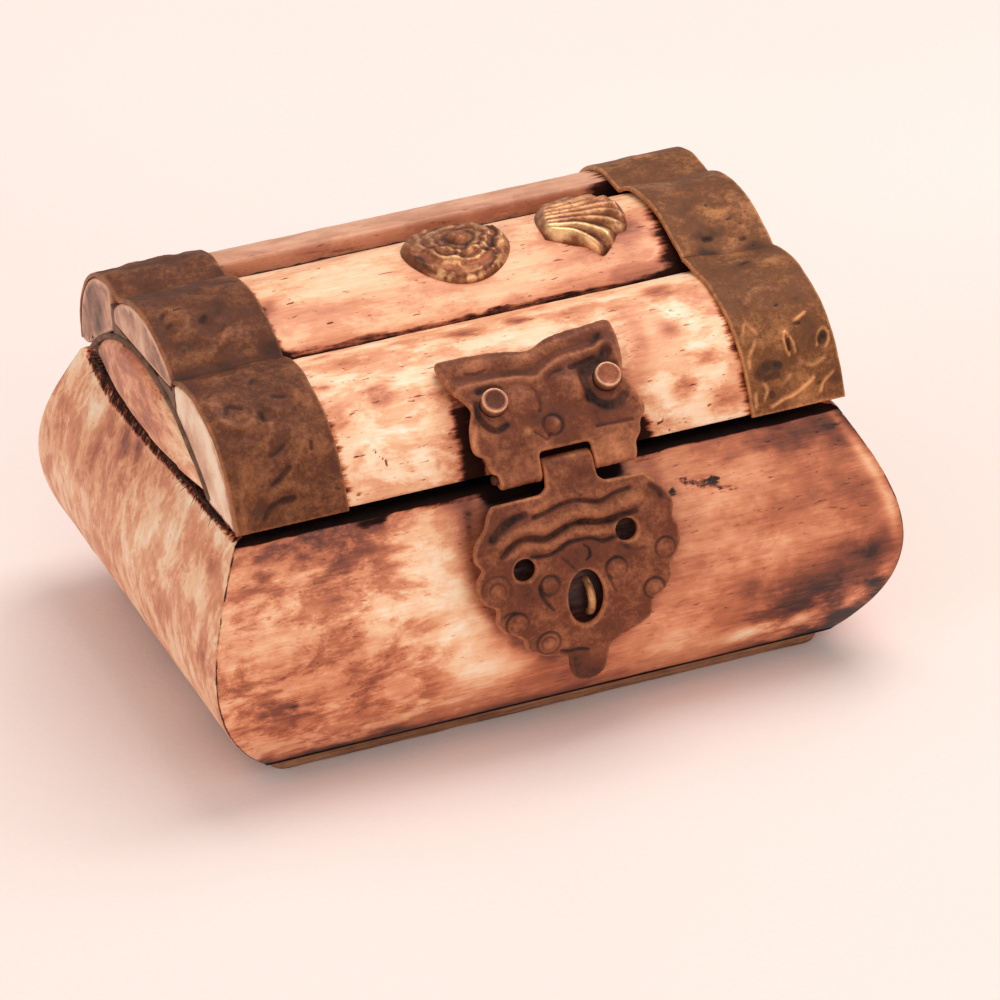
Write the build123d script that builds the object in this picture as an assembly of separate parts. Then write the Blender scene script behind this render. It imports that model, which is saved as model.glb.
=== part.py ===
from build123d import *
import os
from math import cos, radians, sin

# Jewelry box: a wooden box clad in bowed bone panels, with a domed lid of three bone
# staves, brass straps, and a stamped brass hasp over a wire staple.
# Frame, mm: X along the length, -Y the front with the hasp, Z up from the table.

# ---- driving dimensions of the base ----
RIM_LENGTH = 70.0
RIM_DEPTH = 56.0
RIM_Z = 30.1
BOARD_T = 1.4                  # bottom board
BOARD_INSET = 2.0              # bottom board edge, inside the rim line
PANEL_T = 2.6                  # bone panel, measured level
RIM_WIDTH = 5.0                # bone and wood together at the rim
# Outward bow of the bone panels at fractions of their height
PANEL_BOW = ((0.0, -1.75), (1 / 6, 2.18), (0.5, 5.21), (5 / 6, 2.5), (1.0, 0.0))
LINING_T = 0.5
LINING_TOP_GAP = 0.6
FLOOR_PAD_T = 1.5
PAD_CLEARANCE = 0.1
MITRE_INSIDE = 18.0            # the mitre cuts run from here, inside the cavity,
MITRE_OUTSIDE = 45.0           # to here, outside the panels

# ---- driving dimensions of the lid ----
LID_LEFT = -34.9               # lid ends at its front edge
LID_RIGHT = 35.9
LID_SKEW = 0.02                # the hand-fitted lid runs this much to -X per mm to the rear
LID_FRONT_Y = -28.0
LID_GAP_Z = 30.8               # underside of the lid board
STAVE_FOOT_Z = 31.0
REAR_FOOT_Z = 33.2
LID_BOARD_T = 1.4
LID_BOARD_Y = (-21.0, 24.4)
LID_BOARD_END_INSET = 1.6
LID_PAD_T = 0.9
LID_PAD_LENGTH = 57.6
LID_PAD_DEPTH = 43.2
LID_PAD_Y = 0.2
LID_CUT_Z = 20.0               # the cuts at the lid's ends start here, below the whole lid
# Stave domes: circle centre (y, z) and radius
FRONT_DOME = (-15.4, 29.7, 12.7)
TOP_DOME = (0.3, 30.35, 15.3)
REAR_DOME = (11.5, 32.4, 12.2)
CORE_ARC = ((-19.42, 32.2), (0.0, 40.4), (21.34, 32.2))
TOP_STAVE_FLAT_Z = 40.5
TOP_STAVE_Y = (-10.3, 9.8)
FRONT_STAVE_BACK = (-19.3, 33.0)         # the front stave's rebate over the core's foot (y, z)
REAR_STAVE_CHORD = ((10.6, 39.4), (21.8, 33.2))
SEAM_FRONT_Y = -10.6
# Space of each seam filler: y range, z range; its top stays below the domes
FRONT_FILLER = (-12.2, -3.0, 37.0, 41.2)
REAR_FILLER = (4.0, 10.6, 38.0, 41.4)
FILLER_END_INSET = 0.2

# ---- gables ----
GABLE_T = 2.6
GABLE_SPHERE_R = 120.0
GABLE_PROUD = 1.2
GABLE_FEET = ((-20.45, 30.9), (20.3, 32.5))
GABLE_CROWN = (0.96, 40.3)
GABLE_BULGE_Z = 35.0
GABLE_MARGIN = 4.0             # the slab cut for a gable reaches this far past its tip

# ---- brass straps ----
STRAP_T = 0.55
LEFT_STRAP_W = 12.8
RIGHT_STRAP_W = 11.1
STRAP_PIN_R = 0.4
STRAP_PIN_DEPTH = 2.5
STRAP_PIN_INSET = 2.6
STRAP_PIN_PROUD = 0.05
# Elevations of the strap pins on their domes: front seam, front foot, rear foot
TOP_PIN_ANGLE = 120.0
FRONT_PIN_ANGLE = 165.0
REAR_PIN_ANGLE = 20.0
STRAP_FOOT_Y = (0.0, 10.0)     # the foot line climbs between these, from front to rear height

# ---- ornaments on the top stave ----
ORNAMENT_T = 0.9
MEDALLION_CENTRE = (1.4, -0.7)
MEDALLION_R = 6.1
MEDALLION_BOSS_CENTRE = (2.6, 1.7)
MEDALLION_BOSS_R = 1.2
MEDALLION_BOSS_T = 1.4
# The shell's plan: two arcs from its left tip round the rear, and two straight front edges
SHELL_TIP = (11.3, -2.9)
SHELL_REAR_ARC = ((12.9, 4.3), (17.5, 6.4))
SHELL_RIGHT_ARC = ((21.5, 2.4), (20.6, -4.0))
SHELL_FRONT = (16.4, -7.1)

# ---- hasp ----
PLATE_T = 0.7
HASP_PIN_Y = -30.65
HASP_PIN_Z = 31.8
HASP_PIN_R = 0.6
HASP_BORE_R = 0.65
KNUCKLE_R = 1.25
UPPER_CURVE = (-14.53, 25.29, 18.51)     # outer face of the upper plate
UPPER_TILT = 47.0                        # elevation of the plane its outline is drawn in
LOWER_CURVE = (0.49, 16.26, 35.88)       # outer face of the lower plate
TONGUE_X = (-0.85, 4.9)
LEFT_TAB_X = (-5.7, -1.0)
RIGHT_TAB_X = (5.05, 9.85)
PIN_OVERHANG_LEFT = 0.8
PIN_OVERHANG_RIGHT = 0.4
# Upper plate corners and arc mid points in space, on its outer face
LEFT_EAR = (-9.0, -21.2, 42.5)
LEFT_BROW = (-3.5, -20.9, 42.7)
BROW_DIP = (1.2, -21.9, 42.3)
RIGHT_BROW = (5.5, -20.4, 42.9)
RIGHT_EAR = (11.5, -19.9, 43.1)
RIGHT_WAIST = (10.7, -26.6, 39.3)
RIGHT_LOBE = (11.9, -29.4, 36.4)
RIGHT_STEP = (10.2, -30.9, 33.9)
LEFT_WAIST = (-7.0, -26.5, 39.4)
LEFT_LOBE = (-7.9, -29.3, 36.4)
LEFT_STEP = (-6.0, -31.3, 33.1)
NOTCH_HEAD = (0.0, -30.8, 34.1)
# Lower plate outline in (x, z): each arc is a mid point and an end point
SHOULDER_Z = 29.9
LEFT_SHOULDER_X = -7.4
RIGHT_SHOULDER_X = 10.1
LEFT_SCALLOPS = (((-8.4, 29.0), (-8.6, 27.6)), ((-10.3, 25.2), (-9.6, 23.3)),
                 ((-10.4, 21.0), (-8.8, 18.8)), ((-8.5, 16.4), (-5.7, 14.3)),
                 ((-4.9, 12.3), (-1.4, 11.2)))
FOOT_LEFT = ((-0.5, 10.4), (-0.2, 8.6))
FOOT_ARC = ((1.6, 7.1), (3.7, 8.3))
FOOT_RIGHT = ((4.3, 11.1), (9.0, 13.5), (9.4, 15.7))
RIGHT_SCALLOPS = (((11.5, 17.3), (11.9, 19.5)), ((13.2, 22.2), (12.5, 24.6)),
                  ((12.7, 27.2), (RIGHT_SHOULDER_X, SHOULDER_Z)))
EYE_HOLES = ((-4.9, 22.4), (7.2, 24.3))
EYE_HOLE_R = 1.3
SLOT_CENTRE = (1.75, 17.7)
SLOT_RADII = (2.1, 3.3)
RIVET_PLACES = ((-4.3, -26.7, 39.2), (8.8, -26.7, 39.3))
RIVET_HEAD_R = 1.45
RIVET_HEAD_H = 1.7
RIVET_SHANK_R = 0.7
RIVET_SHANK_DEPTH = 3.6
RIVET_CHAMFER = 0.2
RIVET_SEAT = 0.1               # the head starts this far inside the plate's face

# ---- staple ----
STAPLE_X = 2.6
STAPLE_Z = 16.7
STAPLE_HALF = 1.9
STAPLE_CROWN_Y = -34.45
STAPLE_ROOT_Y = -27.5
STAPLE_WIRE_R = 0.45
STAPLE_BEND_R = 1.805

# ---- rear hinges ----
HINGE_Y = 26.0
HINGE_Z = 31.25
HINGE_PLACES = {"left": -19.0, "right": 18.0}
HINGE_HALF = 4.0
HINGE_KNUCKLE_R = 0.95
HINGE_PIN_R = 0.45
HINGE_RUN_R = 0.5
HINGE_MID_HALF = 1.45
HINGE_GAP = 0.1
LEAF_T = 0.4
BASE_LEAF_Y = 23.3
LID_LEAF_Z = (30.95, 33.0)
NAIL_R = 0.35
NAIL_DEPTH = 2.2
NAIL_INSET = 0.9               # from the leaf's end
BASE_NAIL_INSET = 0.7          # from the leaf's front edge
BASE_NAIL_PROUD = 0.1
LID_NAIL_PROUD = 0.08
NOTCH_Y = (-1.3, 2.0)          # round the middle knuckle, from the hinge line
NOTCH_Z = (-1.0, 3.0)          # from the rim
BRIDGE_END_Y = -0.6            # the lid leaf's bridge, from the hinge line
BRIDGE_Z = (-0.25, 0.6)

FAR = 60.0                     # well outside everything


def save(solid, name, colour):
    """Write one node to its own file."""
    solid.label = name
    solid.color = Color(*colour)
    export_step(solid, "parts/" + name + ".step")


def group(solids):
    """Several separate solids as one node."""
    return Compound(children=list(solids))


BONE = (0.85, 0.68, 0.5)
WOOD = (0.45, 0.28, 0.17)
BRASS = (0.6, 0.42, 0.25)
VELVET = (0.4, 0.08, 0.08)
RESIN = (0.3, 0.24, 0.2)


# ================= base =================

def bow_line(level_shift):
    """The bowed face as a curve in (outward, z), moved outward by level_shift."""
    height = RIM_Z - BOARD_T
    points = [(bow + level_shift, BOARD_T + part * height) for part, bow in PANEL_BOW]
    return Spline(*points)


def closed_face(curve, inner):
    """The face between a bowed curve and the points of its inner side."""
    low = curve @ 0
    high = curve @ 1
    back = Polyline(high, *inner, low)
    return make_face(Curve() + [curve, back])


def side_piece(face, half_depth, half_length):
    """A front-like wall piece: the profile run along X and mitred at both ends."""
    profile = Plane.YZ.offset(-FAR) * mirror(face, about=Plane.YZ)
    run = Pos(0, -half_depth, 0) * extrude(profile, amount=2 * FAR)
    lead = half_length - half_depth
    near, far = MITRE_INSIDE, MITRE_OUTSIDE
    wedge = make_face(Polyline((-near - lead, -near), (near + lead, -near),
                               (far + lead, -far), (-far - lead, -far), close=True))
    return run & extrude(wedge, amount=FAR)


def base_sides():
    """Bone panel and wooden wall of each side, mitred where they meet."""
    outer = bow_line(0.0)
    inner_bow = bow_line(-PANEL_T)
    panel = make_face(Curve() + [outer, inner_bow, Line(outer @ 0, inner_bow @ 0),
                                 Line(outer @ 1, inner_bow @ 1)])
    wall = closed_face(inner_bow, [(-RIM_WIDTH, RIM_Z), (-RIM_WIDTH, BOARD_T)])
    turns = {"front": 0, "right": 90, "rear": 180, "left": 270}
    pieces = {}
    for side, turn in turns.items():
        along_x = side in ("front", "rear")
        half_depth = (RIM_DEPTH if along_x else RIM_LENGTH) / 2
        half_length = (RIM_LENGTH if along_x else RIM_DEPTH) / 2
        place = Rot(0, 0, turn)
        pieces["bone_" + side + "_panel"] = place * side_piece(panel, half_depth, half_length)
        pieces[side + "_wall"] = place * side_piece(wall, half_depth, half_length)
    return pieces


def bottom_board():
    length = RIM_LENGTH - 2 * BOARD_INSET
    depth = RIM_DEPTH - 2 * BOARD_INSET
    return Box(length, depth, BOARD_T, align=(Align.CENTER, Align.CENTER, Align.MIN))


def cavity_box(inset, z0, z1):
    """A block that fills the cavity, held in from its walls."""
    length = RIM_LENGTH - 2 * RIM_WIDTH - 2 * inset
    depth = RIM_DEPTH - 2 * RIM_WIDTH - 2 * inset
    block = Box(length, depth, z1 - z0, align=(Align.CENTER, Align.CENTER, Align.MIN))
    return Pos(0, 0, z0) * block


def staple():
    """Wire staple: two legs through the front panel and a round crown."""
    legs = FilletPolyline((STAPLE_ROOT_Y, STAPLE_Z - STAPLE_HALF),
                          (STAPLE_CROWN_Y, STAPLE_Z - STAPLE_HALF),
                          (STAPLE_CROWN_Y, STAPLE_Z + STAPLE_HALF),
                          (STAPLE_ROOT_Y, STAPLE_Z + STAPLE_HALF), radius=STAPLE_BEND_R)
    path = Plane.YZ.offset(STAPLE_X) * legs
    section = Plane(origin=path @ 0, z_dir=path % 0) * Circle(STAPLE_WIRE_R)
    return sweep(section, path=path)


# ================= lid =================

def disc(dome, grow=0.0):
    """A dome's full circle in (y, z)."""
    return Pos(dome[0], dome[1]) * Circle(dome[2] + grow)


def block_2d(y0, y1, z0, z1):
    return make_face(Polyline((y0, z0), (y1, z0), (y1, z1), (y0, z1), close=True))


def run_x(face, x0=-FAR, x1=FAR):
    """A profile in (y, z) run along X."""
    return extrude(Plane.YZ.offset(x0) * face, amount=x1 - x0)


def skewed(x0, x1):
    """The slab of space between two lid sections, running to -X towards the rear."""
    front, rear = -FAR, FAR
    shift_front = -LID_SKEW * (front - LID_FRONT_Y)
    shift_rear = -LID_SKEW * (rear - LID_FRONT_Y)
    plan = make_face(Polyline((x0 + shift_front, front), (x1 + shift_front, front),
                              (x1 + shift_rear, rear), (x0 + shift_rear, rear), close=True))
    return Pos(0, 0, LID_CUT_Z) * extrude(plan, amount=FAR)


def core_face():
    arc = ThreePointArc(*CORE_ARC)
    return make_face(Curve() + [arc, Line(CORE_ARC[2], CORE_ARC[0])])


def lid_board_face():
    return block_2d(*LID_BOARD_Y, LID_GAP_Z, LID_GAP_Z + LID_BOARD_T)


def stave_faces():
    """End faces of the front, top and rear staves."""
    front = disc(FRONT_DOME) & block_2d(-FAR, SEAM_FRONT_Y, STAVE_FOOT_Z, FAR)
    back_y, back_z = FRONT_STAVE_BACK
    front = front - core_face() - lid_board_face() - block_2d(back_y, 0, 0, back_z)
    top = disc(TOP_DOME) & block_2d(*TOP_STAVE_Y, TOP_STAVE_FLAT_Z, FAR)
    high, low = REAR_STAVE_CHORD
    chord = make_face(Polyline(high, low, (FAR, low[1]), (FAR, FAR), (high[0], FAR), close=True))
    rear = (disc(REAR_DOME) & chord) - core_face()
    return front, top, rear


def filler_face(y0, y1, z0, z1, staves):
    """Dark filler in one seam: what the staves and the core leave free."""
    space = block_2d(y0, y1, z0, z1) - core_face()
    for stave in staves:
        space = space - stave
    return max(space.faces(), key=lambda face: face.area)


def gable(end_x, outward):
    """Half-moon bone plate on one end, its outer face gently convex."""
    foot_front, foot_rear = GABLE_FEET
    outline = make_face(Curve() + [ThreePointArc(foot_front, GABLE_CROWN, foot_rear),
                                   Line(foot_rear, foot_front)])
    slab = run_x(outline)
    tip = end_x + outward * GABLE_PROUD + LID_SKEW * LID_FRONT_Y
    if outward > 0:
        body = slab & skewed(end_x - GABLE_T + GABLE_PROUD, end_x + GABLE_MARGIN)
    else:
        body = slab & skewed(end_x - GABLE_MARGIN, end_x + GABLE_T - GABLE_PROUD)
    ball = Pos(tip - outward * GABLE_SPHERE_R, 0.0, GABLE_BULGE_Z) * Sphere(GABLE_SPHERE_R)
    return body & ball


def strap(x0, x1):
    """Sheet brass bent over the three staves."""
    outer = disc(FRONT_DOME, STRAP_T) + disc(TOP_DOME, STRAP_T) + disc(REAR_DOME, STRAP_T)
    inner = disc(FRONT_DOME) + disc(TOP_DOME) + disc(REAR_DOME)
    y0, y1 = STRAP_FOOT_Y
    above = make_face(Polyline((-FAR, STAVE_FOOT_Z), (y0, STAVE_FOOT_Z), (y1, REAR_FOOT_Z),
                               (FAR, REAR_FOOT_Z), (FAR, FAR), (-FAR, FAR), close=True))
    return run_x((outer - inner) & above) & skewed(x0, x1)


def dome_pin(dome, x, elevation):
    """A headless pin driven into a dome, square to its face."""
    out = (0, cos(radians(elevation)), sin(radians(elevation)))
    reach = dome[2] + STRAP_T + STRAP_PIN_PROUD
    tip = (x, dome[0] + reach * out[1], dome[1] + reach * out[2])
    axis = Plane(origin=tip, z_dir=(0, -out[1], -out[2]))
    return extrude(axis * Circle(STRAP_PIN_R), amount=STRAP_PIN_DEPTH)


def strap_pins(x0, x1):
    """Pins of one strap: two by the front seam, two at the front foot, two at the rear foot."""
    places = ((TOP_DOME, TOP_PIN_ANGLE), (FRONT_DOME, FRONT_PIN_ANGLE), (REAR_DOME, REAR_PIN_ANGLE))
    pins = []
    for dome, elevation in places:
        for x in (x0 + STRAP_PIN_INSET, x1 - STRAP_PIN_INSET):
            shift = LID_SKEW * (dome[0] + dome[2] * cos(radians(elevation)) - LID_FRONT_Y)
            pins.append(dome_pin(dome, x - shift, elevation))
    return group(pins)


def on_top_dome(plan, thickness):
    """A plan outline laid on the top stave as a plate of even thickness."""
    ring = disc(TOP_DOME, thickness) - disc(TOP_DOME)
    return run_x(ring) & (Pos(0, 0, TOP_STAVE_FLAT_Z) * extrude(plan, amount=FAR))


def medallion():
    disc_plan = Pos(*MEDALLION_CENTRE) * Circle(MEDALLION_R)
    boss_plan = Pos(*MEDALLION_BOSS_CENTRE) * Circle(MEDALLION_BOSS_R)
    return on_top_dome(disc_plan, ORNAMENT_T) + on_top_dome(boss_plan, MEDALLION_BOSS_T)


def shell_ornament():
    """A fluted shell: pointed at the left, fanned out to the right and the front."""
    plan = make_face(Curve() + [ThreePointArc(SHELL_TIP, *SHELL_REAR_ARC),
                                ThreePointArc(SHELL_REAR_ARC[1], *SHELL_RIGHT_ARC),
                                Line(SHELL_RIGHT_ARC[1], SHELL_FRONT), Line(SHELL_FRONT, SHELL_TIP)])
    return on_top_dome(plan, ORNAMENT_T)


# ================= hasp =================

def sheet(curve):
    """Curved sheet metal in (y, z): a ring of the plate's thickness."""
    return disc(curve) - disc(curve, -PLATE_T)


def knuckle(x0, x1):
    ring = Pos(HASP_PIN_Y, HASP_PIN_Z) * (Circle(KNUCKLE_R) - Circle(HASP_BORE_R))
    return run_x(ring, x0, x1)


def bore_clear(x0, x1):
    return run_x(Pos(HASP_PIN_Y, HASP_PIN_Z) * Circle(HASP_BORE_R), x0, x1)


def upper_plate():
    """Eared plate riveted to the front stave, with two rolled tabs at its foot."""
    tilt = radians(UPPER_TILT)
    plane = Plane(origin=(0, 0, 0), x_dir=(1, 0, 0), z_dir=(0, -cos(tilt), sin(tilt)))

    def at(place):
        x, y, z = place
        return (x, y * sin(tilt) + z * cos(tilt))

    foot = at((0, HASP_PIN_Y - KNUCKLE_R, HASP_PIN_Z))[1]
    notch = at(NOTCH_HEAD)[1]
    outline = Curve() + [
        Line((LEFT_TAB_X[0], foot), at(LEFT_STEP)),
        ThreePointArc(at(LEFT_STEP), at(LEFT_LOBE), at(LEFT_WAIST)),
        Line(at(LEFT_WAIST), at(LEFT_EAR)),
        ThreePointArc(at(LEFT_EAR), at(LEFT_BROW), at(BROW_DIP)),
        ThreePointArc(at(BROW_DIP), at(RIGHT_BROW), at(RIGHT_EAR)),
        Line(at(RIGHT_EAR), at(RIGHT_WAIST)),
        ThreePointArc(at(RIGHT_WAIST), at(RIGHT_LOBE), at(RIGHT_STEP)),
        Line(at(RIGHT_STEP), (RIGHT_TAB_X[1], foot)),
        Line((RIGHT_TAB_X[1], foot), (RIGHT_TAB_X[0], foot)),
        Line((RIGHT_TAB_X[0], foot), (RIGHT_TAB_X[0], notch)),
        Line((RIGHT_TAB_X[0], notch), (LEFT_TAB_X[1], notch)),
        Line((LEFT_TAB_X[1], notch), (LEFT_TAB_X[1], foot)),
        Line((LEFT_TAB_X[1], foot), (LEFT_TAB_X[0], foot)),
    ]
    cutter = extrude(plane * make_face(outline), amount=FAR)
    plate = run_x(sheet(UPPER_CURVE)) & cutter
    plate = max(plate.solids(), key=lambda solid: solid.volume)
    plate = plate - bore_clear(-FAR, FAR)
    return plate + knuckle(*LEFT_TAB_X) + knuckle(*RIGHT_TAB_X)


def arcs(start, spans):
    """Arcs one after another; each span is a mid point and an end point."""
    out = []
    for middle, end in spans:
        out.append(ThreePointArc(start, middle, end))
        start = end
    return out


def lines(points):
    return [Line(a, b) for a, b in zip(points, points[1:])]


def lower_plate():
    """Scalloped plate that hangs over the staple, with a rolled tongue at its head."""
    neck_l, neck_r = TONGUE_X
    left_shoulder, right_shoulder = (LEFT_SHOULDER_X, SHOULDER_Z), (RIGHT_SHOULDER_X, SHOULDER_Z)
    outline = Curve() + lines([(neck_l, HASP_PIN_Z), (neck_l, SHOULDER_Z), left_shoulder])
    outline += arcs(left_shoulder, LEFT_SCALLOPS)
    outline += lines([LEFT_SCALLOPS[-1][1], *FOOT_LEFT])
    outline += arcs(FOOT_LEFT[-1], [FOOT_ARC])
    outline += lines([FOOT_ARC[-1], *FOOT_RIGHT])
    outline += arcs(FOOT_RIGHT[-1], RIGHT_SCALLOPS)
    outline += lines([right_shoulder, (neck_r, SHOULDER_Z), (neck_r, HASP_PIN_Z), (neck_l, HASP_PIN_Z)])
    face = Plane.XZ * make_face(outline)
    cutter = extrude(face, amount=FAR)
    for x, z in EYE_HOLES:
        cutter -= Pos(x, 0, z) * extrude(Plane.XZ * Circle(EYE_HOLE_R), amount=FAR)
    slot = extrude(Plane.XZ * Ellipse(*SLOT_RADII), amount=FAR)
    cutter -= Pos(SLOT_CENTRE[0], 0, SLOT_CENTRE[1]) * slot
    plate = run_x(sheet(LOWER_CURVE)) & cutter
    plate = max(plate.solids(), key=lambda solid: solid.volume)
    plate = plate - bore_clear(*TONGUE_X)
    return plate + knuckle(*TONGUE_X)


def rivets():
    """Two tall-headed rivets, square to the upper plate."""
    solids = []
    for x, y, z in RIVET_PLACES:
        out = Vector(0, y - UPPER_CURVE[0], z - UPPER_CURVE[1]).normalized()
        face = Vector(x, UPPER_CURVE[0], UPPER_CURVE[1]) + out * (UPPER_CURVE[2] - RIVET_SEAT)
        plane = Plane(origin=face, z_dir=out)
        head = extrude(plane * Circle(RIVET_HEAD_R), amount=RIVET_HEAD_H + RIVET_SEAT)
        shank = extrude(plane * Circle(RIVET_SHANK_R), amount=-RIVET_SHANK_DEPTH)
        solids.append(chamfer(head.faces().sort_by(Axis(face, out))[-1].edges(), RIVET_CHAMFER) + shank)
    return group(solids)


def hasp_pin():
    left = LEFT_TAB_X[0] - PIN_OVERHANG_LEFT
    right = RIGHT_TAB_X[1] + PIN_OVERHANG_RIGHT
    return run_x(Pos(HASP_PIN_Y, HASP_PIN_Z) * Circle(HASP_PIN_R), left, right)


# ================= rear hinges =================

def hinge_tube(x0, x1, bore_r):
    ring = Pos(HINGE_Y, HINGE_Z) * (Circle(HINGE_KNUCKLE_R) - Circle(bore_r))
    return run_x(ring, x0, x1)


def base_leaf(x):
    """Leaf flat on the rim, notched round the middle knuckle."""
    free = HINGE_MID_HALF + HINGE_GAP
    leaf = run_x(block_2d(BASE_LEAF_Y, HINGE_Y, RIM_Z, RIM_Z + LEAF_T), x - HINGE_HALF, x + HINGE_HALF)
    notch = block_2d(HINGE_Y + NOTCH_Y[0], HINGE_Y + NOTCH_Y[1], RIM_Z + NOTCH_Z[0], RIM_Z + NOTCH_Z[1])
    leaf -= run_x(notch, x - free, x + free)
    left = hinge_tube(x - HINGE_HALF, x - free, HINGE_PIN_R)
    right = hinge_tube(x + free, x + HINGE_HALF, HINGE_PIN_R)
    return leaf + left + right


def lid_leaf(x):
    """Upright leaf on the lid board's rear edge, with the middle knuckle."""
    back = LID_BOARD_Y[1]
    leaf = run_x(block_2d(back, back + LEAF_T, *LID_LEAF_Z), x - HINGE_HALF, x + HINGE_HALF)
    bridge = run_x(block_2d(back, HINGE_Y + BRIDGE_END_Y, HINGE_Z + BRIDGE_Z[0], HINGE_Z + BRIDGE_Z[1]),
                   x - HINGE_MID_HALF, x + HINGE_MID_HALF)
    bridge -= run_x(Pos(HINGE_Y, HINGE_Z) * Circle(HINGE_RUN_R), x - FAR, x + FAR)
    return leaf + bridge + hinge_tube(x - HINGE_MID_HALF, x + HINGE_MID_HALF, HINGE_RUN_R)


def hinge_pin(x):
    return run_x(Pos(HINGE_Y, HINGE_Z) * Circle(HINGE_PIN_R), x - HINGE_HALF, x + HINGE_HALF)


def base_nail(x):
    top = RIM_Z + LEAF_T + BASE_NAIL_PROUD
    return Pos(x, BASE_LEAF_Y + BASE_NAIL_INSET, top - NAIL_DEPTH) * Cylinder(
        NAIL_R, NAIL_DEPTH, align=(Align.CENTER, Align.CENTER, Align.MIN))


def lid_nail(x):
    face_y = LID_BOARD_Y[1] + LEAF_T + LID_NAIL_PROUD
    plane = Plane(origin=(x, face_y, LID_GAP_Z + LID_BOARD_T / 2), z_dir=(0, -1, 0))
    return extrude(plane * Circle(NAIL_R), amount=NAIL_DEPTH)


def hinge_nails(nail):
    spread = HINGE_HALF - NAIL_INSET
    return group([nail(x + side * spread) for x in HINGE_PLACES.values() for side in (-1, 1)])


# ================= nodes =================

os.makedirs("parts", exist_ok=True)

for name, solid in base_sides().items():
    save(solid, name, BONE if name.startswith("bone") else WOOD)
save(bottom_board(), "bottom_board", WOOD)
save(cavity_box(LINING_T + PAD_CLEARANCE, BOARD_T, BOARD_T + FLOOR_PAD_T), "floor_pad", VELVET)
lining_top = RIM_Z - LINING_TOP_GAP
lining = cavity_box(0, BOARD_T, lining_top) - cavity_box(LINING_T, BOARD_T, lining_top)
save(lining, "wall_lining", VELVET)
save(staple(), "hasp_staple", BRASS)

front_face, top_face, rear_face = stave_faces()
stave_slab = skewed(LID_LEFT, LID_RIGHT)
for name, face in (("front_stave", front_face), ("top_stave", top_face), ("rear_stave", rear_face)):
    save(run_x(face) & stave_slab, name, BONE)
all_staves = (front_face, top_face, rear_face)
filler_slab = skewed(LID_LEFT + FILLER_END_INSET, LID_RIGHT - FILLER_END_INSET)
save(run_x(filler_face(*FRONT_FILLER, all_staves)) & filler_slab, "front_seam_filler", RESIN)
save(run_x(filler_face(*REAR_FILLER, all_staves)) & filler_slab, "rear_seam_filler", RESIN)

inner_slab = skewed(LID_LEFT + LID_BOARD_END_INSET, LID_RIGHT - LID_BOARD_END_INSET)
save(run_x(core_face()) & inner_slab, "lid_core", WOOD)
save(run_x(lid_board_face()) & inner_slab, "lid_board", WOOD)
lid_pad = Box(LID_PAD_LENGTH, LID_PAD_DEPTH, LID_PAD_T, align=(Align.CENTER, Align.CENTER, Align.MIN))
save(Pos(0, LID_PAD_Y, LID_GAP_Z - LID_PAD_T) * lid_pad, "lid_pad", VELVET)
save(gable(LID_LEFT, -1), "left_gable", BONE)
save(gable(LID_RIGHT, 1), "right_gable", BONE)

strap_ends = {"left": (LID_LEFT, LID_LEFT + LEFT_STRAP_W), "right": (LID_RIGHT - RIGHT_STRAP_W, LID_RIGHT)}
for side, (x0, x1) in strap_ends.items():
    save(strap(x0, x1), side + "_strap", BRASS)
    save(strap_pins(x0, x1), side + "_strap_pins", BRASS)

save(medallion(), "flower_medallion", BRASS)
save(shell_ornament(), "shell_ornament", BRASS)
save(upper_plate(), "hasp_upper_plate", BRASS)
save(rivets(), "hasp_rivets", BRASS)
save(hasp_pin(), "hasp_pin", BRASS)
save(lower_plate(), "hasp_lower_plate", BRASS)

for side, x in HINGE_PLACES.items():
    save(base_leaf(x), side + "_hinge_base_leaf", BRASS)
    save(lid_leaf(x), side + "_hinge_lid_leaf", BRASS)
    save(hinge_pin(x), side + "_hinge_pin", BRASS)
save(hinge_nails(base_nail), "base_hinge_nails", BRASS)
save(hinge_nails(lid_nail), "lid_hinge_nails", BRASS)
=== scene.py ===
import math

import bpy
import bmesh
import numpy as np
from mathutils import Matrix, Vector, geometry


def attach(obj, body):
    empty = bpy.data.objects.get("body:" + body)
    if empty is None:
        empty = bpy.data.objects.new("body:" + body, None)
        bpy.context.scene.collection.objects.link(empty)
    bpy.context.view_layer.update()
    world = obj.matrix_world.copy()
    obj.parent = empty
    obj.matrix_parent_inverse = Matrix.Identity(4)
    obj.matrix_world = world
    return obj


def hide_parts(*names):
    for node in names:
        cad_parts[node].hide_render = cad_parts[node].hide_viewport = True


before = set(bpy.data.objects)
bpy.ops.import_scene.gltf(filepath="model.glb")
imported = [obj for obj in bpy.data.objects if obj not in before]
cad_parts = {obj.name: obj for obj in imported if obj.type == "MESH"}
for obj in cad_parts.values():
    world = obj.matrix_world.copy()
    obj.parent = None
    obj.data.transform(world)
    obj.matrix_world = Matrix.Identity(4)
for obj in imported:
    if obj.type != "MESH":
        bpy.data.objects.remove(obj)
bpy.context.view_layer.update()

# All lengths below are in millimetres, in the frame of the CAD, and turn into metres
# only when a mesh is made.
MM = 0.001

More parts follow.
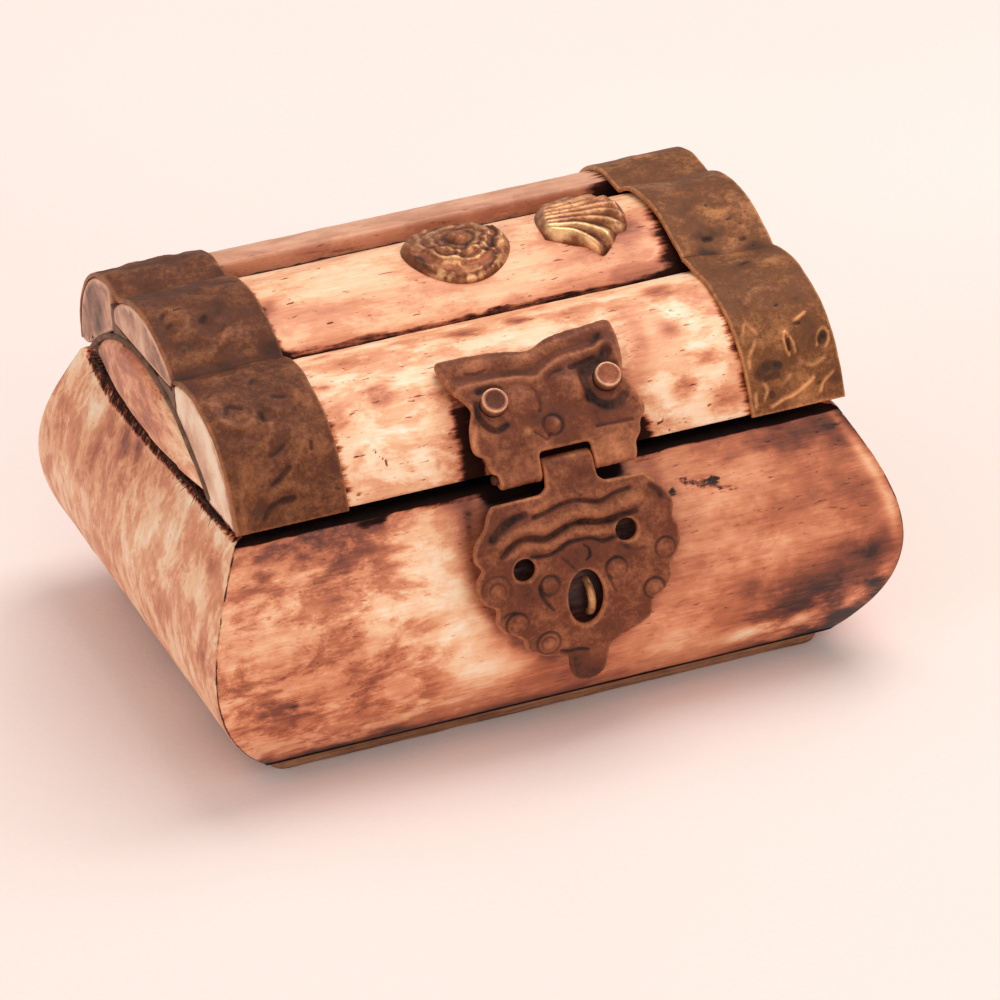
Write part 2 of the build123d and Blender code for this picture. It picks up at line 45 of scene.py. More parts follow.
# ---- the box, as in the CAD ----
RIM_X = 35.0
RIM_Y = 28.0
RIM_Z = 30.1
BOARD_T = 1.4
PANEL_T = 2.6
BOW_AT = (0.0, 1 / 6, 0.5, 5 / 6, 1.0)
BOW_OUT = (-1.75, 2.18, 5.21, 2.5, 0.0)
LID_LEFT, LID_RIGHT = -34.9, 35.9
LID_SKEW = 0.02
FRONT_DOME = (-15.4, 29.7, 12.7)
TOP_DOME = (0.3, 30.35, 15.3)
REAR_DOME = (11.5, 32.4, 12.2)
CORE_ARC = ((-19.42, 32.2), (0.0, 40.4), (21.34, 32.2))
STAVE_FOOT_Z = 31.0
REAR_FOOT_Z = 33.2
STRAP_T = 0.5
STRAP_LIFT = 0.07
LEFT_STRAP = (LID_LEFT, -22.1)
RIGHT_STRAP = (24.8, LID_RIGHT)
HASP_PIN = (-30.65, 31.8)
KNUCKLE_R = 1.25
PLATE_T = 0.62
UPPER_CURVE = (-14.53, 25.29, 18.51)
LOWER_CURVE = (0.49, 16.26, 35.88)


# =====================================================================
# small tools
# =====================================================================

def srgb(r, g, b):
    """A display colour of 0..255 as a linear RGBA colour."""
    out = []
    for c in (r, g, b):
        c = c / 255.0
        out.append(c / 12.92 if c <= 0.04045 else ((c + 0.055) / 1.055) ** 2.4)
    return (*out, 1.0)


def hashed(ix, iy, iz, seed):
    h = (ix * 374761393 + iy * 668265263 + iz * 1440662683 + seed * 144665) & 0xFFFFFFFF
    h = ((h ^ (h >> 13)) * 1274126177) & 0xFFFFFFFF
    return ((h ^ (h >> 16)) & 0xFFFF) / 65535.0


def value_noise(p, seed):
    """Smooth noise of 0..1 at the rows of p."""
    i = np.floor(p).astype(np.int64)
    f = p - i
    f = f * f * (3.0 - 2.0 * f)
    total = np.zeros(len(p))
    for dx in (0, 1):
        for dy in (0, 1):
            for dz in (0, 1):
                w = (f[:, 0] if dx else 1 - f[:, 0]) * (f[:, 1] if dy else 1 - f[:, 1]) \
                    * (f[:, 2] if dz else 1 - f[:, 2])
                total += w * hashed(i[:, 0] + dx, i[:, 1] + dy, i[:, 2] + dz, seed)
    return total


def fbm(points, size, octaves=4, seed=1, stretch=(1, 1, 1)):
    """Fractal noise of -1..1, one value to a point; size is the largest feature in mm."""
    p = np.asarray(points, float).reshape(-1, 3) / (size * np.asarray(stretch, float))
    total, amp, norm = np.zeros(len(p)), 1.0, 0.0
    for k in range(octaves):
        total += amp * (value_noise(p * 2.0 ** k + 17.3 * k, seed + 31 * k) * 2 - 1)
        norm += amp
        amp *= 0.55
    return (total / norm * 1.6).reshape(np.shape(points)[:-1])


def flat3(u, v):
    """Points at (u, v, 0)."""
    return np.stack([u, v, np.zeros(np.shape(u))], -1)


def blobs(u, v, spots):
    """Sum of soft elliptic spots (u, v, radius_u, radius_v, strength)."""
    total = np.zeros(np.shape(u))
    for cu, cv, ru, rv, strength in spots:
        total += strength * np.exp(-(((u - cu) / ru) ** 2 + ((v - cv) / rv) ** 2))
    return total


def near_line(u, v, line):
    """Distance of every (u, v) from a polyline."""
    best = np.full(np.shape(u), 1e9)
    for (u0, v0), (u1, v1) in zip(line[:-1], line[1:]):
        du, dv = u1 - u0, v1 - v0
        t = np.clip(((u - u0) * du + (v - v0) * dv) / (du * du + dv * dv + 1e-9), 0, 1)
        best = np.minimum(best, np.hypot(u - u0 - t * du, v - v0 - t * dv))
    return best


def bell(d, width):
    return np.exp(-(d / width) ** 2)


def step_up(value, low, high):
    t = np.clip((value - low) / (high - low), 0, 1)
    return t * t * (3 - 2 * t)


def curve_through(points, count=60):
    """A smooth line through a few points, by Catmull-Rom."""
    p = np.asarray(points, float)
    p = np.vstack([2 * p[0] - p[1], p, 2 * p[-1] - p[-2]])
    out = []
    per = max(2, count // (len(p) - 3))
    for k in range(1, len(p) - 2):
        t = np.linspace(0, 1, per, endpoint=False)[:, None]
        a, b, c, d = p[k - 1], p[k], p[k + 1], p[k + 2]
        out.append(0.5 * (2 * b + (c - a) * t + (2 * a - 5 * b + 4 * c - d) * t ** 2
                          + (3 * b - a - 3 * c + d) * t ** 3))
    return np.vstack([*out, p[-2:-1]])


def resample(points, step, closed=False):
    p = np.asarray(points, float)
    if closed:
        p = np.vstack([p, p[:1]])
    length = np.r_[0, np.cumsum(np.linalg.norm(np.diff(p, axis=0), axis=1))]
    count = max(3, int(round(length[-1] / step)))
    at = np.linspace(0, length[-1], count + 1)
    if closed:
        at = at[:-1]
    return np.stack([np.interp(at, length, p[:, k]) for k in range(p.shape[1])], -1)


def soften(points, passes):
    """Rounds the corners of a closed loop of points."""
    p = np.asarray(points, float)
    for _ in range(passes):
        p = 0.5 * p + 0.25 * (np.roll(p, 1, 0) + np.roll(p, -1, 0))
    return p


def round_points(circle, a):
    """Points (y, z) of a circle (y, z, radius) at the angles a, from 0 at the front."""
    return np.stack([circle[0] - circle[2] * np.cos(a), circle[1] + circle[2] * np.sin(a)], -1)


def ellipse(cx, cy, rx, ry, count=48):
    a = np.linspace(0, 2 * np.pi, count, endpoint=False)
    return np.stack([cx + rx * np.cos(a), cy + ry * np.sin(a)], -1)


def rounded_rectangle(half_x, half_y, radius, count, step):
    """A closed loop of evenly spaced points; count is the number of points on each corner."""
    corners = []
    for sign_x, sign_y, start in ((1, 1, 0), (-1, 1, 90), (-1, -1, 180), (1, -1, 270)):
        a = np.radians(start + np.linspace(0, 90, count))
        corners.append(np.stack([sign_x * (half_x - radius) + radius * np.cos(a),
                                 sign_y * (half_y - radius) + radius * np.sin(a)], -1))
    return resample(np.vstack(corners), step, closed=True)


def arc(dome, a0, a1, count=80):
    """Points of a dome circle; the angle is 0 at the front and 90 at the top."""
    return round_points(dome, np.radians(np.linspace(a0, a1, count)))


def loop_normals(p):
    t = np.roll(p, -1, 0) - np.roll(p, 1, 0)
    t /= np.linalg.norm(t, axis=1)[:, None] + 1e-12
    n = np.stack([t[:, 1], -t[:, 0]], -1)
    area = np.sum(p[:, 0] * np.roll(p[:, 1], -1) - np.roll(p[:, 0], -1) * p[:, 1])
    return n if area > 0 else -n


class Path:
    """A line in (y, z) walked by length, with its outward side on the left."""

    def __init__(self, points, smooth):
        p = resample(points, 0.1)
        for _ in range(smooth):
            p[1:-1] = 0.5 * p[1:-1] + 0.25 * (p[:-2] + p[2:])
        self.p = p
        self.s = np.r_[0, np.cumsum(np.linalg.norm(np.diff(p, axis=0), axis=1))]
        t = np.gradient(p, self.s, axis=0)
        t /= np.linalg.norm(t, axis=1)[:, None]
        self.n = np.stack([-t[:, 1], t[:, 0]], -1)
        self.end = self.s[-1]

    def at(self, s, lift=0.0):
        s = np.asarray(s, float)
        y, z, ny, nz = (np.interp(s, self.s, c) for c in (*self.p.T, *self.n.T))
        return y + ny * lift, z + nz * lift


# =====================================================================
# meshes
# =====================================================================

def make_mesh(name, points, faces, attributes=None, sharp=None):
    mesh = bpy.data.meshes.new(name)
    mesh.from_pydata((np.asarray(points, float) * MM).tolist(), [], [tuple(map(int, f)) for f in faces])
    work = bmesh.new()
    work.from_mesh(mesh)
    bmesh.ops.recalc_face_normals(work, faces=work.faces)
    work.to_mesh(mesh)
    work.free()
    for key, values in (attributes or {}).items():
        layer = mesh.attributes.new(key, "FLOAT", "POINT")
        layer.data.foreach_set("value", np.asarray(values, np.float32).ravel())
    mesh.polygons.foreach_set("use_smooth", [True] * len(mesh.polygons))
    if sharp is not None:
        mesh.set_sharp_from_angle(angle=math.radians(sharp))
    obj = bpy.data.objects.new(name, mesh)
    bpy.context.scene.collection.objects.link(obj)
    return obj


def inside(points, loop):
    """Which of the points lie inside a closed loop."""
    x, y = points[:, 0], points[:, 1]
    hit = np.zeros(len(points), bool)
    for (x0, y0), (x1, y1) in zip(loop, np.roll(loop, -1, 0)):
        if y0 == y1:
            continue
        cross = ((y0 > y) != (y1 > y)) & (x < (x1 - x0) * (y - y0) / (y1 - y0) + x0)
        hit ^= cross
    return hit


def edge_distance(points, loops):
    best = np.full(len(points), 1e9)
    for loop in loops:
        closed = np.vstack([loop, loop[:1]])
        best = np.minimum(best, near_line(points[:, 0], points[:, 1], closed))
    return best


def fill_region(loops, step):
    """Triangles that fill the first loop less the others: (all 2-D points, triangles,
    distance to an edge). The loops' own points come first, in order."""
    outline = np.vstack(loops)
    low, high = loops[0].min(0), loops[0].max(0)
    rows = np.arange(low[1] + step / 2, high[1], step * 0.866)
    grid = []
    for k, v in enumerate(rows):
        u = np.arange(low[0] + step * (0.5 if k % 2 else 0.0), high[0], step)
        grid.append(np.stack([u, np.full(len(u), v)], -1))
    grid = np.vstack(grid)
    keep = inside(grid, loops[0])
    for hole in loops[1:]:
        keep &= ~inside(grid, hole)
    grid = grid[keep]
    grid = grid[edge_distance(grid, loops) > 0.45 * step]
    points = np.vstack([outline, grid])
    edges, first = [], 0
    for loop in loops:
        n = len(loop)
        edges += [(first + k, first + (k + 1) % n) for k in range(n)]
        first += n
    _, _, faces, origin, _, _ = geometry.delaunay_2d_cdt(
        [tuple(map(float, p)) for p in points], edges, [], 0, 1e-7, True)
    back = [ids[0] if ids else -1 for ids in origin]
    tri = np.array([[back[i] for i in f] for f in faces if len(f) == 3])
    tri = tri[(tri >= 0).all(1)]
    middle = points[tri].mean(1)
    keep = inside(middle, loops[0])
    for hole in loops[1:]:
        keep &= ~inside(middle, hole)
    return points, tri[keep], edge_distance(points, loops)


def plate(name, loops, step, outer_fn, inner_fn, attr_fn=None, sharp=50):
    """A sheet with a thickness: its face is the filled region, mapped by outer_fn and
    inner_fn from (points, distance to the edge) to 3-D points."""
    points, tri, edge = fill_region(loops, step)
    n = len(points)
    outer = outer_fn(points, edge)
    inner = inner_fn(points, edge)
    faces = [tuple(t) for t in tri] + [tuple(t[::-1] + n) for t in tri]
    first = 0
    for loop in loops:
        m = len(loop)
        for k in range(m):
            a, b = first + k, first + (k + 1) % m
            faces.append((a, b, b + n, a + n))
        first += m
    attrs = {}
    if attr_fn:
        for key, values in attr_fn(points, edge).items():
            attrs[key] = np.r_[values, values]
    return make_mesh(name, np.vstack([outer, inner]), faces, attrs, sharp)


def slab(name, outer, inner, attrs=None, sharp=50):
    """A bent sheet from two grids of points of one shape."""
    nu, nv = outer.shape[:2]
    n = nu * nv
    index = np.arange(n).reshape(nu, nv)
    quad = np.stack([index[:-1, :-1], index[1:, :-1], index[1:, 1:], index[:-1, 1:]], -1).reshape(-1, 4)
    faces = [tuple(q) for q in quad] + [tuple(q[::-1] + n) for q in quad]
    rim = np.r_[index[0, :], index[1:, -1], index[-1, -2::-1], index[-2:0:-1, 0]]
    for a, b in zip(rim, np.roll(rim, -1)):
        faces.append((a, b, b + n, a + n))
    both = {k: np.r_[np.ravel(v), np.ravel(v)] for k, v in (attrs or {}).items()}
    return make_mesh(name, np.vstack([outer.reshape(-1, 3), inner.reshape(-1, 3)]), faces, both, sharp)


def ring_quads(index):
    """Four-sided faces between neighbouring rows of point numbers, each row a closed ring."""
    nxt = np.roll(index, -1, 1)
    return np.stack([index[:-1], index[1:], nxt[1:], nxt[:-1]], -1).reshape(-1, 4)


def loft(name, rings, attr_fn=None, cap_step=0.7, sharp=50, flat=(1, 2)):
    """A solid through rings of equal count, its ends filled with triangles."""
    count, m = rings.shape[:2]
    index = np.arange(count * m).reshape(count, m)
    faces = [tuple(q) for q in ring_quads(index)]
    points = [rings.reshape(-1, 3)]
    total = count * m
    for end in (0, count - 1):
        ring = rings[end]
        flat2 = ring[:, list(flat)]
        region, tri, _ = fill_region([flat2], cap_step)
        extra = region[m:]
        lift = np.zeros((len(extra), 3))
        lift[:, list(flat)] = extra
        other = 3 - sum(flat)
        # the free coordinate of a cap is linear in the other two
        basis = np.c_[flat2, np.ones(m)]
        slope = np.linalg.lstsq(basis, ring[:, other], rcond=None)[0]
        lift[:, other] = np.c_[extra, np.ones(len(extra))] @ slope
        ids = np.r_[index[end], np.arange(total, total + len(extra))]
        faces += [tuple(ids[t]) for t in tri]
        points.append(lift)
        total += len(extra)
    points = np.vstack(points)
    attrs = attr_fn(points) if attr_fn else None
    return make_mesh(name, points, faces, attrs, sharp)


def lathe(profile, origin, axis, turns=40):
    """Rings of points of a round part: profile rows are (radius, height along axis)."""
    axis = np.asarray(axis, float) / np.linalg.norm(axis)
    side = np.cross(axis, [1.0, 0, 0] if abs(axis[0]) < 0.9 else [0, 1.0, 0])
    side /= np.linalg.norm(side)
    up = np.cross(axis, side)
    a = np.linspace(0, 2 * np.pi, turns, endpoint=False)
    ring = np.cos(a)[:, None] * side + np.sin(a)[:, None] * up
    return np.array([np.asarray(origin) + r * ring + h * axis for r, h in profile])


def finish_piece(obj, body, material, slot, *nodes):
    obj.data.materials.clear()
    obj.data.materials.append(material)
    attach(obj, body)
    if nodes:
        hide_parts(*nodes)
    return obj


# =====================================================================
# materials
# =====================================================================

class Shader:
    """One node material, with short calls for the nodes that it uses."""

    def __init__(self, name):
        self.mat = bpy.data.materials.new(name)
        self.mat.use_nodes = True
        self.tree = self.mat.node_tree
        self.bsdf = self.tree.nodes["Principled BSDF"]
        self.object = self.tree.nodes.new("ShaderNodeTexCoord").outputs["Object"]

    def node(self, kind, inputs=None, **props):
        n = self.tree.nodes.new(kind)
        for key, value in props.items():
            setattr(n, key, value)
        for key, value in (inputs or {}).items():
            if isinstance(value, bpy.types.NodeSocket):
                self.tree.links.new(value, n.inputs[key])
            else:
                n.inputs[key].default_value = value
        return n

    def coord(self, scale=(1, 1, 1)):
        return self.node("ShaderNodeMapping", {"Vector": self.object, "Scale": scale}).outputs[0]

    def noise(self, vector, scale, detail=4.0, rough=0.55, distort=0.0):
        return self.node("ShaderNodeTexNoise", {"Vector": vector, "Scale": scale, "Detail": detail,
                                                "Roughness": rough, "Distortion": distort}).outputs["Fac"]

    def attr(self, name):
        return self.node("ShaderNodeAttribute", attribute_name=name).outputs["Fac"]

    def math(self, op, a, b=0.0, clamp=False):
        return self.node("ShaderNodeMath", {0: a, 1: b}, operation=op, use_clamp=clamp).outputs[0]

    def add(self, *terms):
        total = terms[0]
        for t in terms[1:]:
            total = self.math("ADD", total, t)
        return total

    def times(self, a, b):
        return self.math("MULTIPLY", a, b)

    def around(self, value, gain):
        """(value - 0.5) * gain"""
        return self.math("MULTIPLY", self.math("SUBTRACT", value, 0.5), gain)

    def step(self, value, low, high):
        return self.node("ShaderNodeMapRange", {"Value": value, "From Min": low, "From Max": high},
                         interpolation_type="SMOOTHSTEP").outputs["Result"]

    def ramp(self, fac, stops):
        n = self.node("ShaderNodeValToRGB", {"Fac": fac})
        elements = n.color_ramp.elements
        while len(elements) < len(stops):
            elements.new(0.5)
        for e, (at, colour) in zip(elements, stops):
            e.position = at
            e.color = srgb(*colour)
        return n.outputs["Color"]

    def bump(self, height, strength, distance):
        return self.node("ShaderNodeBump", {"Height": height, "Strength": strength,
                                            "Distance": distance}).outputs["Normal"]

    def set(self, **values):
        for key, value in values.items():
            socket = self.bsdf.inputs[key.replace("_", " ")]
            if isinstance(value, bpy.types.NodeSocket):
                self.tree.links.new(value, socket)
            else:
                socket.default_value = value
        return self.mat


# how much the fibres are drawn out: the smallest number is the way they run
GRAIN_X = (0.1, 1.0, 1.0)
GRAIN_Z = (1.0, 1.0, 0.4)
GRAIN_END = (1.0, 0.5, 0.5)
GRAIN_GABLE = (1.0, 0.2, 1.0)
# colours of bone from its darkest to its lightest tone
BONE_STOPS = ((0.0, (11, 5, 4)), (0.14, (58, 24, 16)), (0.33, (136, 68, 44)), (0.5, (192, 110, 74)),
              (0.65, (226, 150, 108)), (0.8, (247, 194, 152)), (0.92, (254, 221, 188)),
              (1.0, (255, 238, 216)))
END_STOPS = ((0.0, (36, 24, 20)), (0.2, (92, 60, 48)), (0.4, (160, 112, 92)), (0.6, (206, 152, 124)),
             (0.8, (238, 194, 162)), (1.0, (252, 226, 198)))


def bone_material(name, grain, stops=BONE_STOPS, fibre=0.16, speck=0.2, dash=0.3, gloss=0.42):
    """Stained bone. The vertex attributes say how light it is (tone, with painted shade in places), how
    blotched (mottle), where pores and cracks are (mark) and how dark it is made (stain): dirt crept
    in along the fibres, and painted shade in gaps, at feet and beside the brass; grain stretches the
    fibres."""
    s = Shader(name)
    along = s.coord(grain)
    half = s.coord(tuple(0.5 * (1 + g) for g in grain))
    blotch = s.step(s.noise(half, 260, 7, 0.68, 0.35), 0.42, 0.58)
    speckle = s.noise(half, 900, 6, 0.72)
    fibres = s.noise(along, 1500, 5, 0.65)
    lines = s.noise(along, 4200, 3, 0.6)
    streak = s.coord(tuple(0.22 if g < 0.2 else g for g in grain))
    dashes = s.step(s.noise(streak, 2500, 2, 0.5), 0.68, 0.74)
    flecks = s.step(s.noise(half, 2600, 2, 0.5), 0.7, 0.76)
    # where the bone is made dark: dirt crept in along the fibres, and painted shade in gaps and beside the
    # brass
    dirt_and_shade_mask = s.step(s.add(s.attr("stain_and_shade"), s.around(fibres, 1.25), s.around(speckle, 0.7)), 0.45, 1.0)
    marked = s.step(s.add(s.attr("mark"), s.around(speckle, 1.2), s.around(lines, 0.5)), 0.3, 0.6)
    tone = s.add(s.attr("tone"),
                 s.times(s.attr("mottle"), s.around(blotch, 0.3)),
                 s.times(s.attr("mottle"), s.around(speckle, speck * 2.2)),
                 s.around(fibres, fibre * 1.7), s.around(lines, fibre * 0.8),
                 s.times(dashes, -dash * 0.6), s.times(flecks, -dash * 0.5))
    tone = s.times(tone, s.math("SUBTRACT", 1.0, s.times(dirt_and_shade_mask, 0.88)))
    tone = s.math("SUBTRACT", tone, s.times(marked, 0.6), clamp=True)
    colour = s.ramp(tone, stops)
    height = s.add(s.around(fibres, 0.6), s.around(lines, 0.35), s.times(dashes, -0.8),
                   s.times(marked, -1.0), s.around(speckle, 0.2), s.times(dirt_and_shade_mask, s.around(speckle, 1.6)))
    rough = s.add(s.times(speckle, 0.2), gloss - 0.05, s.times(dirt_and_shade_mask, 0.35))
    return s.set(Base_Color=colour, Roughness=rough,
                 Specular_IOR_Level=s.math("SUBTRACT", 0.42, s.times(dirt_and_shade_mask, 0.34)),
                 Subsurface_Weight=0.05, Subsurface_Scale=0.002, Subsurface_Radius=(1.0, 0.5, 0.3),
                 Normal=s.bump(height, 0.35, 0.00012))


def brass_material(name, dark, mid, light, metal, gloss, grime=1.0):
    """Old brass: dark in the hollows (attribute hollow; round the rivets' feet this is painted shadow),
    rubbed bright on the ridges (attribute worn; on the medallion's front rim, the shell's lower
    flutes and the right strap's crumpled foot this is painted highlight), with a patchy brown film over it."""
    s = Shader(name)
    p = s.coord()
    patch = s.noise(p, 230, 6, 0.62, 0.4)
    fine = s.noise(p, 1500, 5, 0.7)
    pits = s.step(s.noise(p, 2600, 2, 0.5), 0.68, 0.76)
    scratch = s.noise(s.coord((1, 0.15, 1)), 2600, 3, 0.6)
    worn, hollow = s.attr("worn"), s.attr("hollow")
    grain = s.noise(p, 5200, 2, 0.6)
    specks = s.step(s.noise(p, 3300, 2, 0.5), 0.7, 0.76)
    uneven = s.times(s.step(s.add(hollow, s.around(fine, 0.8), s.around(patch, 0.4)), 0.16, 0.66), grime)
    level = s.add(s.around(patch, 0.55), s.around(fine, 0.5), s.around(scratch, 0.12),
                  s.around(grain, 0.22),
                  0.45, s.times(worn, s.add(0.25, s.times(fine, 0.6))), s.times(uneven, -0.4),
                  s.times(pits, -0.16), s.times(specks, 0.14))
    level = s.math("ADD", level, 0.0, clamp=True)
    colour = s.ramp(level, ((0.0, dark), (0.45, mid), (1.0, light)))
    rough = s.math("SUBTRACT", s.add(gloss, s.times(patch, 0.22), s.times(hollow, 0.2)),
                   s.times(worn, 0.16), clamp=True)
    height = s.add(s.around(fine, 0.6), s.around(scratch, 0.2), s.times(pits, -0.9))
    return s.set(Base_Color=colour, Metallic=s.math("SUBTRACT", metal, s.times(hollow, 0.5), clamp=True),
                 Specular_IOR_Level=0.3, Roughness=rough, Normal=s.bump(height, 0.5, 0.00008))


def wood_material(name, dark, light):
    s = Shader(name)
    along = s.coord(GRAIN_X)
    rings = s.noise(along, 500, 6, 0.6, 0.8)
    fibre = s.noise(along, 2600, 4, 0.7)
    soil = s.noise(s.coord(), 300, 5, 0.65)
    level = s.add(rings, s.around(fibre, 0.7), s.around(soil, 0.5))
    colour = s.ramp(level, ((0.2, dark), (0.8, light)))
    return s.set(Base_Color=colour, Roughness=s.math("ADD", s.times(fibre, 0.3), 0.55),
                 Specular_IOR_Level=0.3,
                 Normal=s.bump(s.add(rings, fibre), 0.5, 0.0002))


def velvet_material(name):
    s = Shader(name)
    p = s.coord()
    pile = s.noise(p, 5200, 3, 0.7)
    crush = s.noise(p, 160, 5, 0.6, 0.6)
    level = s.add(s.around(crush, 1.1), s.around(pile, 0.5), 0.5)
    colour = s.ramp(level, ((0.0, (44, 6, 12)), (0.5, (96, 16, 26)), (1.0, (150, 38, 48))))
    return s.set(Base_Color=colour, Roughness=0.85, Sheen_Weight=0.6, Sheen_Roughness=0.35,
                 Sheen_Tint=(0.9, 0.45, 0.42, 1.0), Specular_IOR_Level=0.15,
                 Normal=s.bump(s.add(pile, s.times(crush, 0.6)), 0.6, 0.00022))


def resin_material(name):
    """Dark glue and filler, matt and crusty."""
    s = Shader(name)
    p = s.coord()
    lump = s.noise(p, 700, 6, 0.7)
    grey = s.attr("pale")
    level = s.add(s.around(lump, 0.9), 0.35, s.times(grey, 0.45))
    colour = s.ramp(level, ((0.0, (26, 13, 10)), (0.45, (70, 42, 32)), (1.0, (158, 124, 104))))
    return s.set(Base_Color=colour, Roughness=0.8, Specular_IOR_Level=0.25,
                 Normal=s.bump(lump, 0.7, 0.0003))


BONE_X = bone_material("bone_grain_x", GRAIN_X)
BONE_SIDE = bone_material("bone_grain_side", GRAIN_Z, fibre=0.12)
BONE_STAVE = bone_material("pale_bone_stave", GRAIN_X, fibre=0.15, speck=0.16, dash=0.6)
REAR_STOPS = ((0.0, (16, 8, 6)), (0.16, (70, 38, 28)), (0.35, (142, 90, 68)), (0.52, (184, 124, 96)),
              (0.66, (208, 148, 116)), (0.82, (226, 172, 140)), (1.0, (242, 204, 176)))
BONE_REAR = bone_material("tan_bone_stave", GRAIN_X, REAR_STOPS, fibre=0.11, speck=0.12, dash=0.35)
BONE_END = bone_material("pale_bone_end", GRAIN_END, END_STOPS, fibre=0.1, dash=0.1, gloss=0.5)
STRAP = brass_material("strap_brass_aged", (34, 17, 10), (93, 48, 26), (186, 118, 74), metal=0.3, gloss=0.5,
                       grime=0.8)
STRAP_RIGHT = brass_material("strap_brass_rubbed", (36, 19, 10), (115, 67, 35), (226, 154, 98), metal=0.35,
                             gloss=0.46, grime=0.85)
HASP = brass_material("hasp_brass_aged", (28, 13, 8), (111, 56, 34), (204, 130, 88), metal=0.3, gloss=0.46,
                      grime=0.92)
GILT = brass_material("gilt_brass_relief", (44, 20, 12), (138, 77, 45), (252, 196, 140), metal=0.55,
                      gloss=0.3,
                      grime=0.9)
COPPER = brass_material("copper_pin", (34, 15, 10), (146, 82, 58), (238, 182, 142), metal=0.5, gloss=0.38)
STAPLE_BRASS = brass_material("staple_brass", (44, 22, 14), (150, 84, 50), (246, 190, 134), metal=0.6,
                              gloss=0.28)
WOOD = wood_material("dark_wood", (52, 28, 18), (120, 76, 50))
BONE_GABLE = bone_material("bone_gable", GRAIN_GABLE, fibre=0.2, dash=0.4)
PIN_DARK = brass_material("dark_pin", (30, 18, 13), (84, 54, 38), (140, 100, 72), metal=0.5, gloss=0.5)
BOARD = wood_material("bottom_board_wood", (104, 62, 42), (190, 136, 100))
VELVET = velvet_material("velvet_pile")
RESIN = resin_material("dark_resin")
GLUE = resin_material("dark_glue")


# =====================================================================
# base: bone panels
# =====================================================================

BOW_FIT = np.polyfit(np.array(BOW_AT), np.array(BOW_OUT), 4)


def bow(z):
    return np.polyval(BOW_FIT, (np.asarray(z, float) - BOARD_T) / (RIM_Z - BOARD_T))


def edge_drop(distance, radius):
    """How far a rounded edge falls back at a distance from the edge."""
    d = np.clip(distance, 0, radius)
    return radius - np.sqrt(np.maximum(radius ** 2 - (radius - d) ** 2, 0))


def panel_section(rows):
    """(z, depth) round a bone panel, from the foot of the outer face."""
    z = np.linspace(BOARD_T, RIM_Z, rows)
    r = 0.4
    outer = np.stack([z, edge_drop(z - BOARD_T, 0.25) + edge_drop(RIM_Z - z, r)], -1)
    top = np.stack([np.full(7, RIM_Z), np.linspace(r, PANEL_T, 8)[1:]], -1)
    inner = np.stack([np.linspace(RIM_Z, BOARD_T, 12)[1:], np.full(11, PANEL_T)], -1)
    foot = np.stack([np.full(4, BOARD_T), np.linspace(PANEL_T, 0.25, 6)[1:-1]], -1)
    return np.vstack([outer, top, inner, foot])


def panel_frame(side, u, w):
    """Turns (along, outward) of one side into (x, y)."""
    return {"front": (u, -w), "rear": (-u, w), "left": (-w, -u), "right": (w, u)}[side]


def bone_panel(side, tone_fn, rows=84, columns=230):
    along_x = side in ("front", "rear")
    half_len, half_dep = (RIM_X, RIM_Y) if along_x else (RIM_Y, RIM_X)
    section = panel_section(rows)
    z, depth = section[:, 0], section[:, 1]
    reach = half_len + bow(z) - depth
    ends = np.array([0.0, 0.06, 0.13, 0.22, 0.34]) / half_len
    t = np.r_[-1 + ends, np.linspace(-1 + 0.5 / half_len, 1 - 0.5 / half_len, columns), (1 - ends)[::-1]]
    u = t[:, None] * (reach[None, :] - 0.045)
    w = np.broadcast_to(half_dep + bow(z) - depth, u.shape).copy()
    zz = np.broadcast_to(z, u.shape).copy()
    x, y = panel_frame(side, u, w)
    face = np.arange(len(z)) < rows
    base = np.stack([x, y, zz], -1)
    wave = 0.07 * fbm(base, 9, 3, 11) + 0.03 * fbm(base, 1.6, 3, 5)
    look = tone_fn(x, y, zz)
    sink = wave - look["pit"] - 0.5 * edge_drop((1 - np.abs(t))[:, None] * half_len, 0.3)
    margin = step_up(zz, BOARD_T, BOARD_T + 0.8) * step_up(RIM_Z - zz, 0.0, 0.5)
    w = w + np.where(face, sink, 0.0) * margin
    rim = np.arange(len(z))
    rim_face = (rim >= rows) & (rim < rows + 6)
    zz = zz + np.where(rim_face, 0.10 * fbm(base, 0.9, 3, 7) - 0.08, 0.0)
    x, y = panel_frame(side, u, w)
    rings = np.stack([x, y, zz], -1)

    def attrs(points):
        more = len(points) - rings.shape[0] * rings.shape[1]
        return {k: np.r_[np.ravel(v), np.full(more, 0.3 if k == "tone" else 0.0)]
                for k, v in look.items() if k != "pit"}

    return loft("bone_panel_" + side, rings, attrs, 1.0, 60, (0, 2) if along_x else (1, 2))


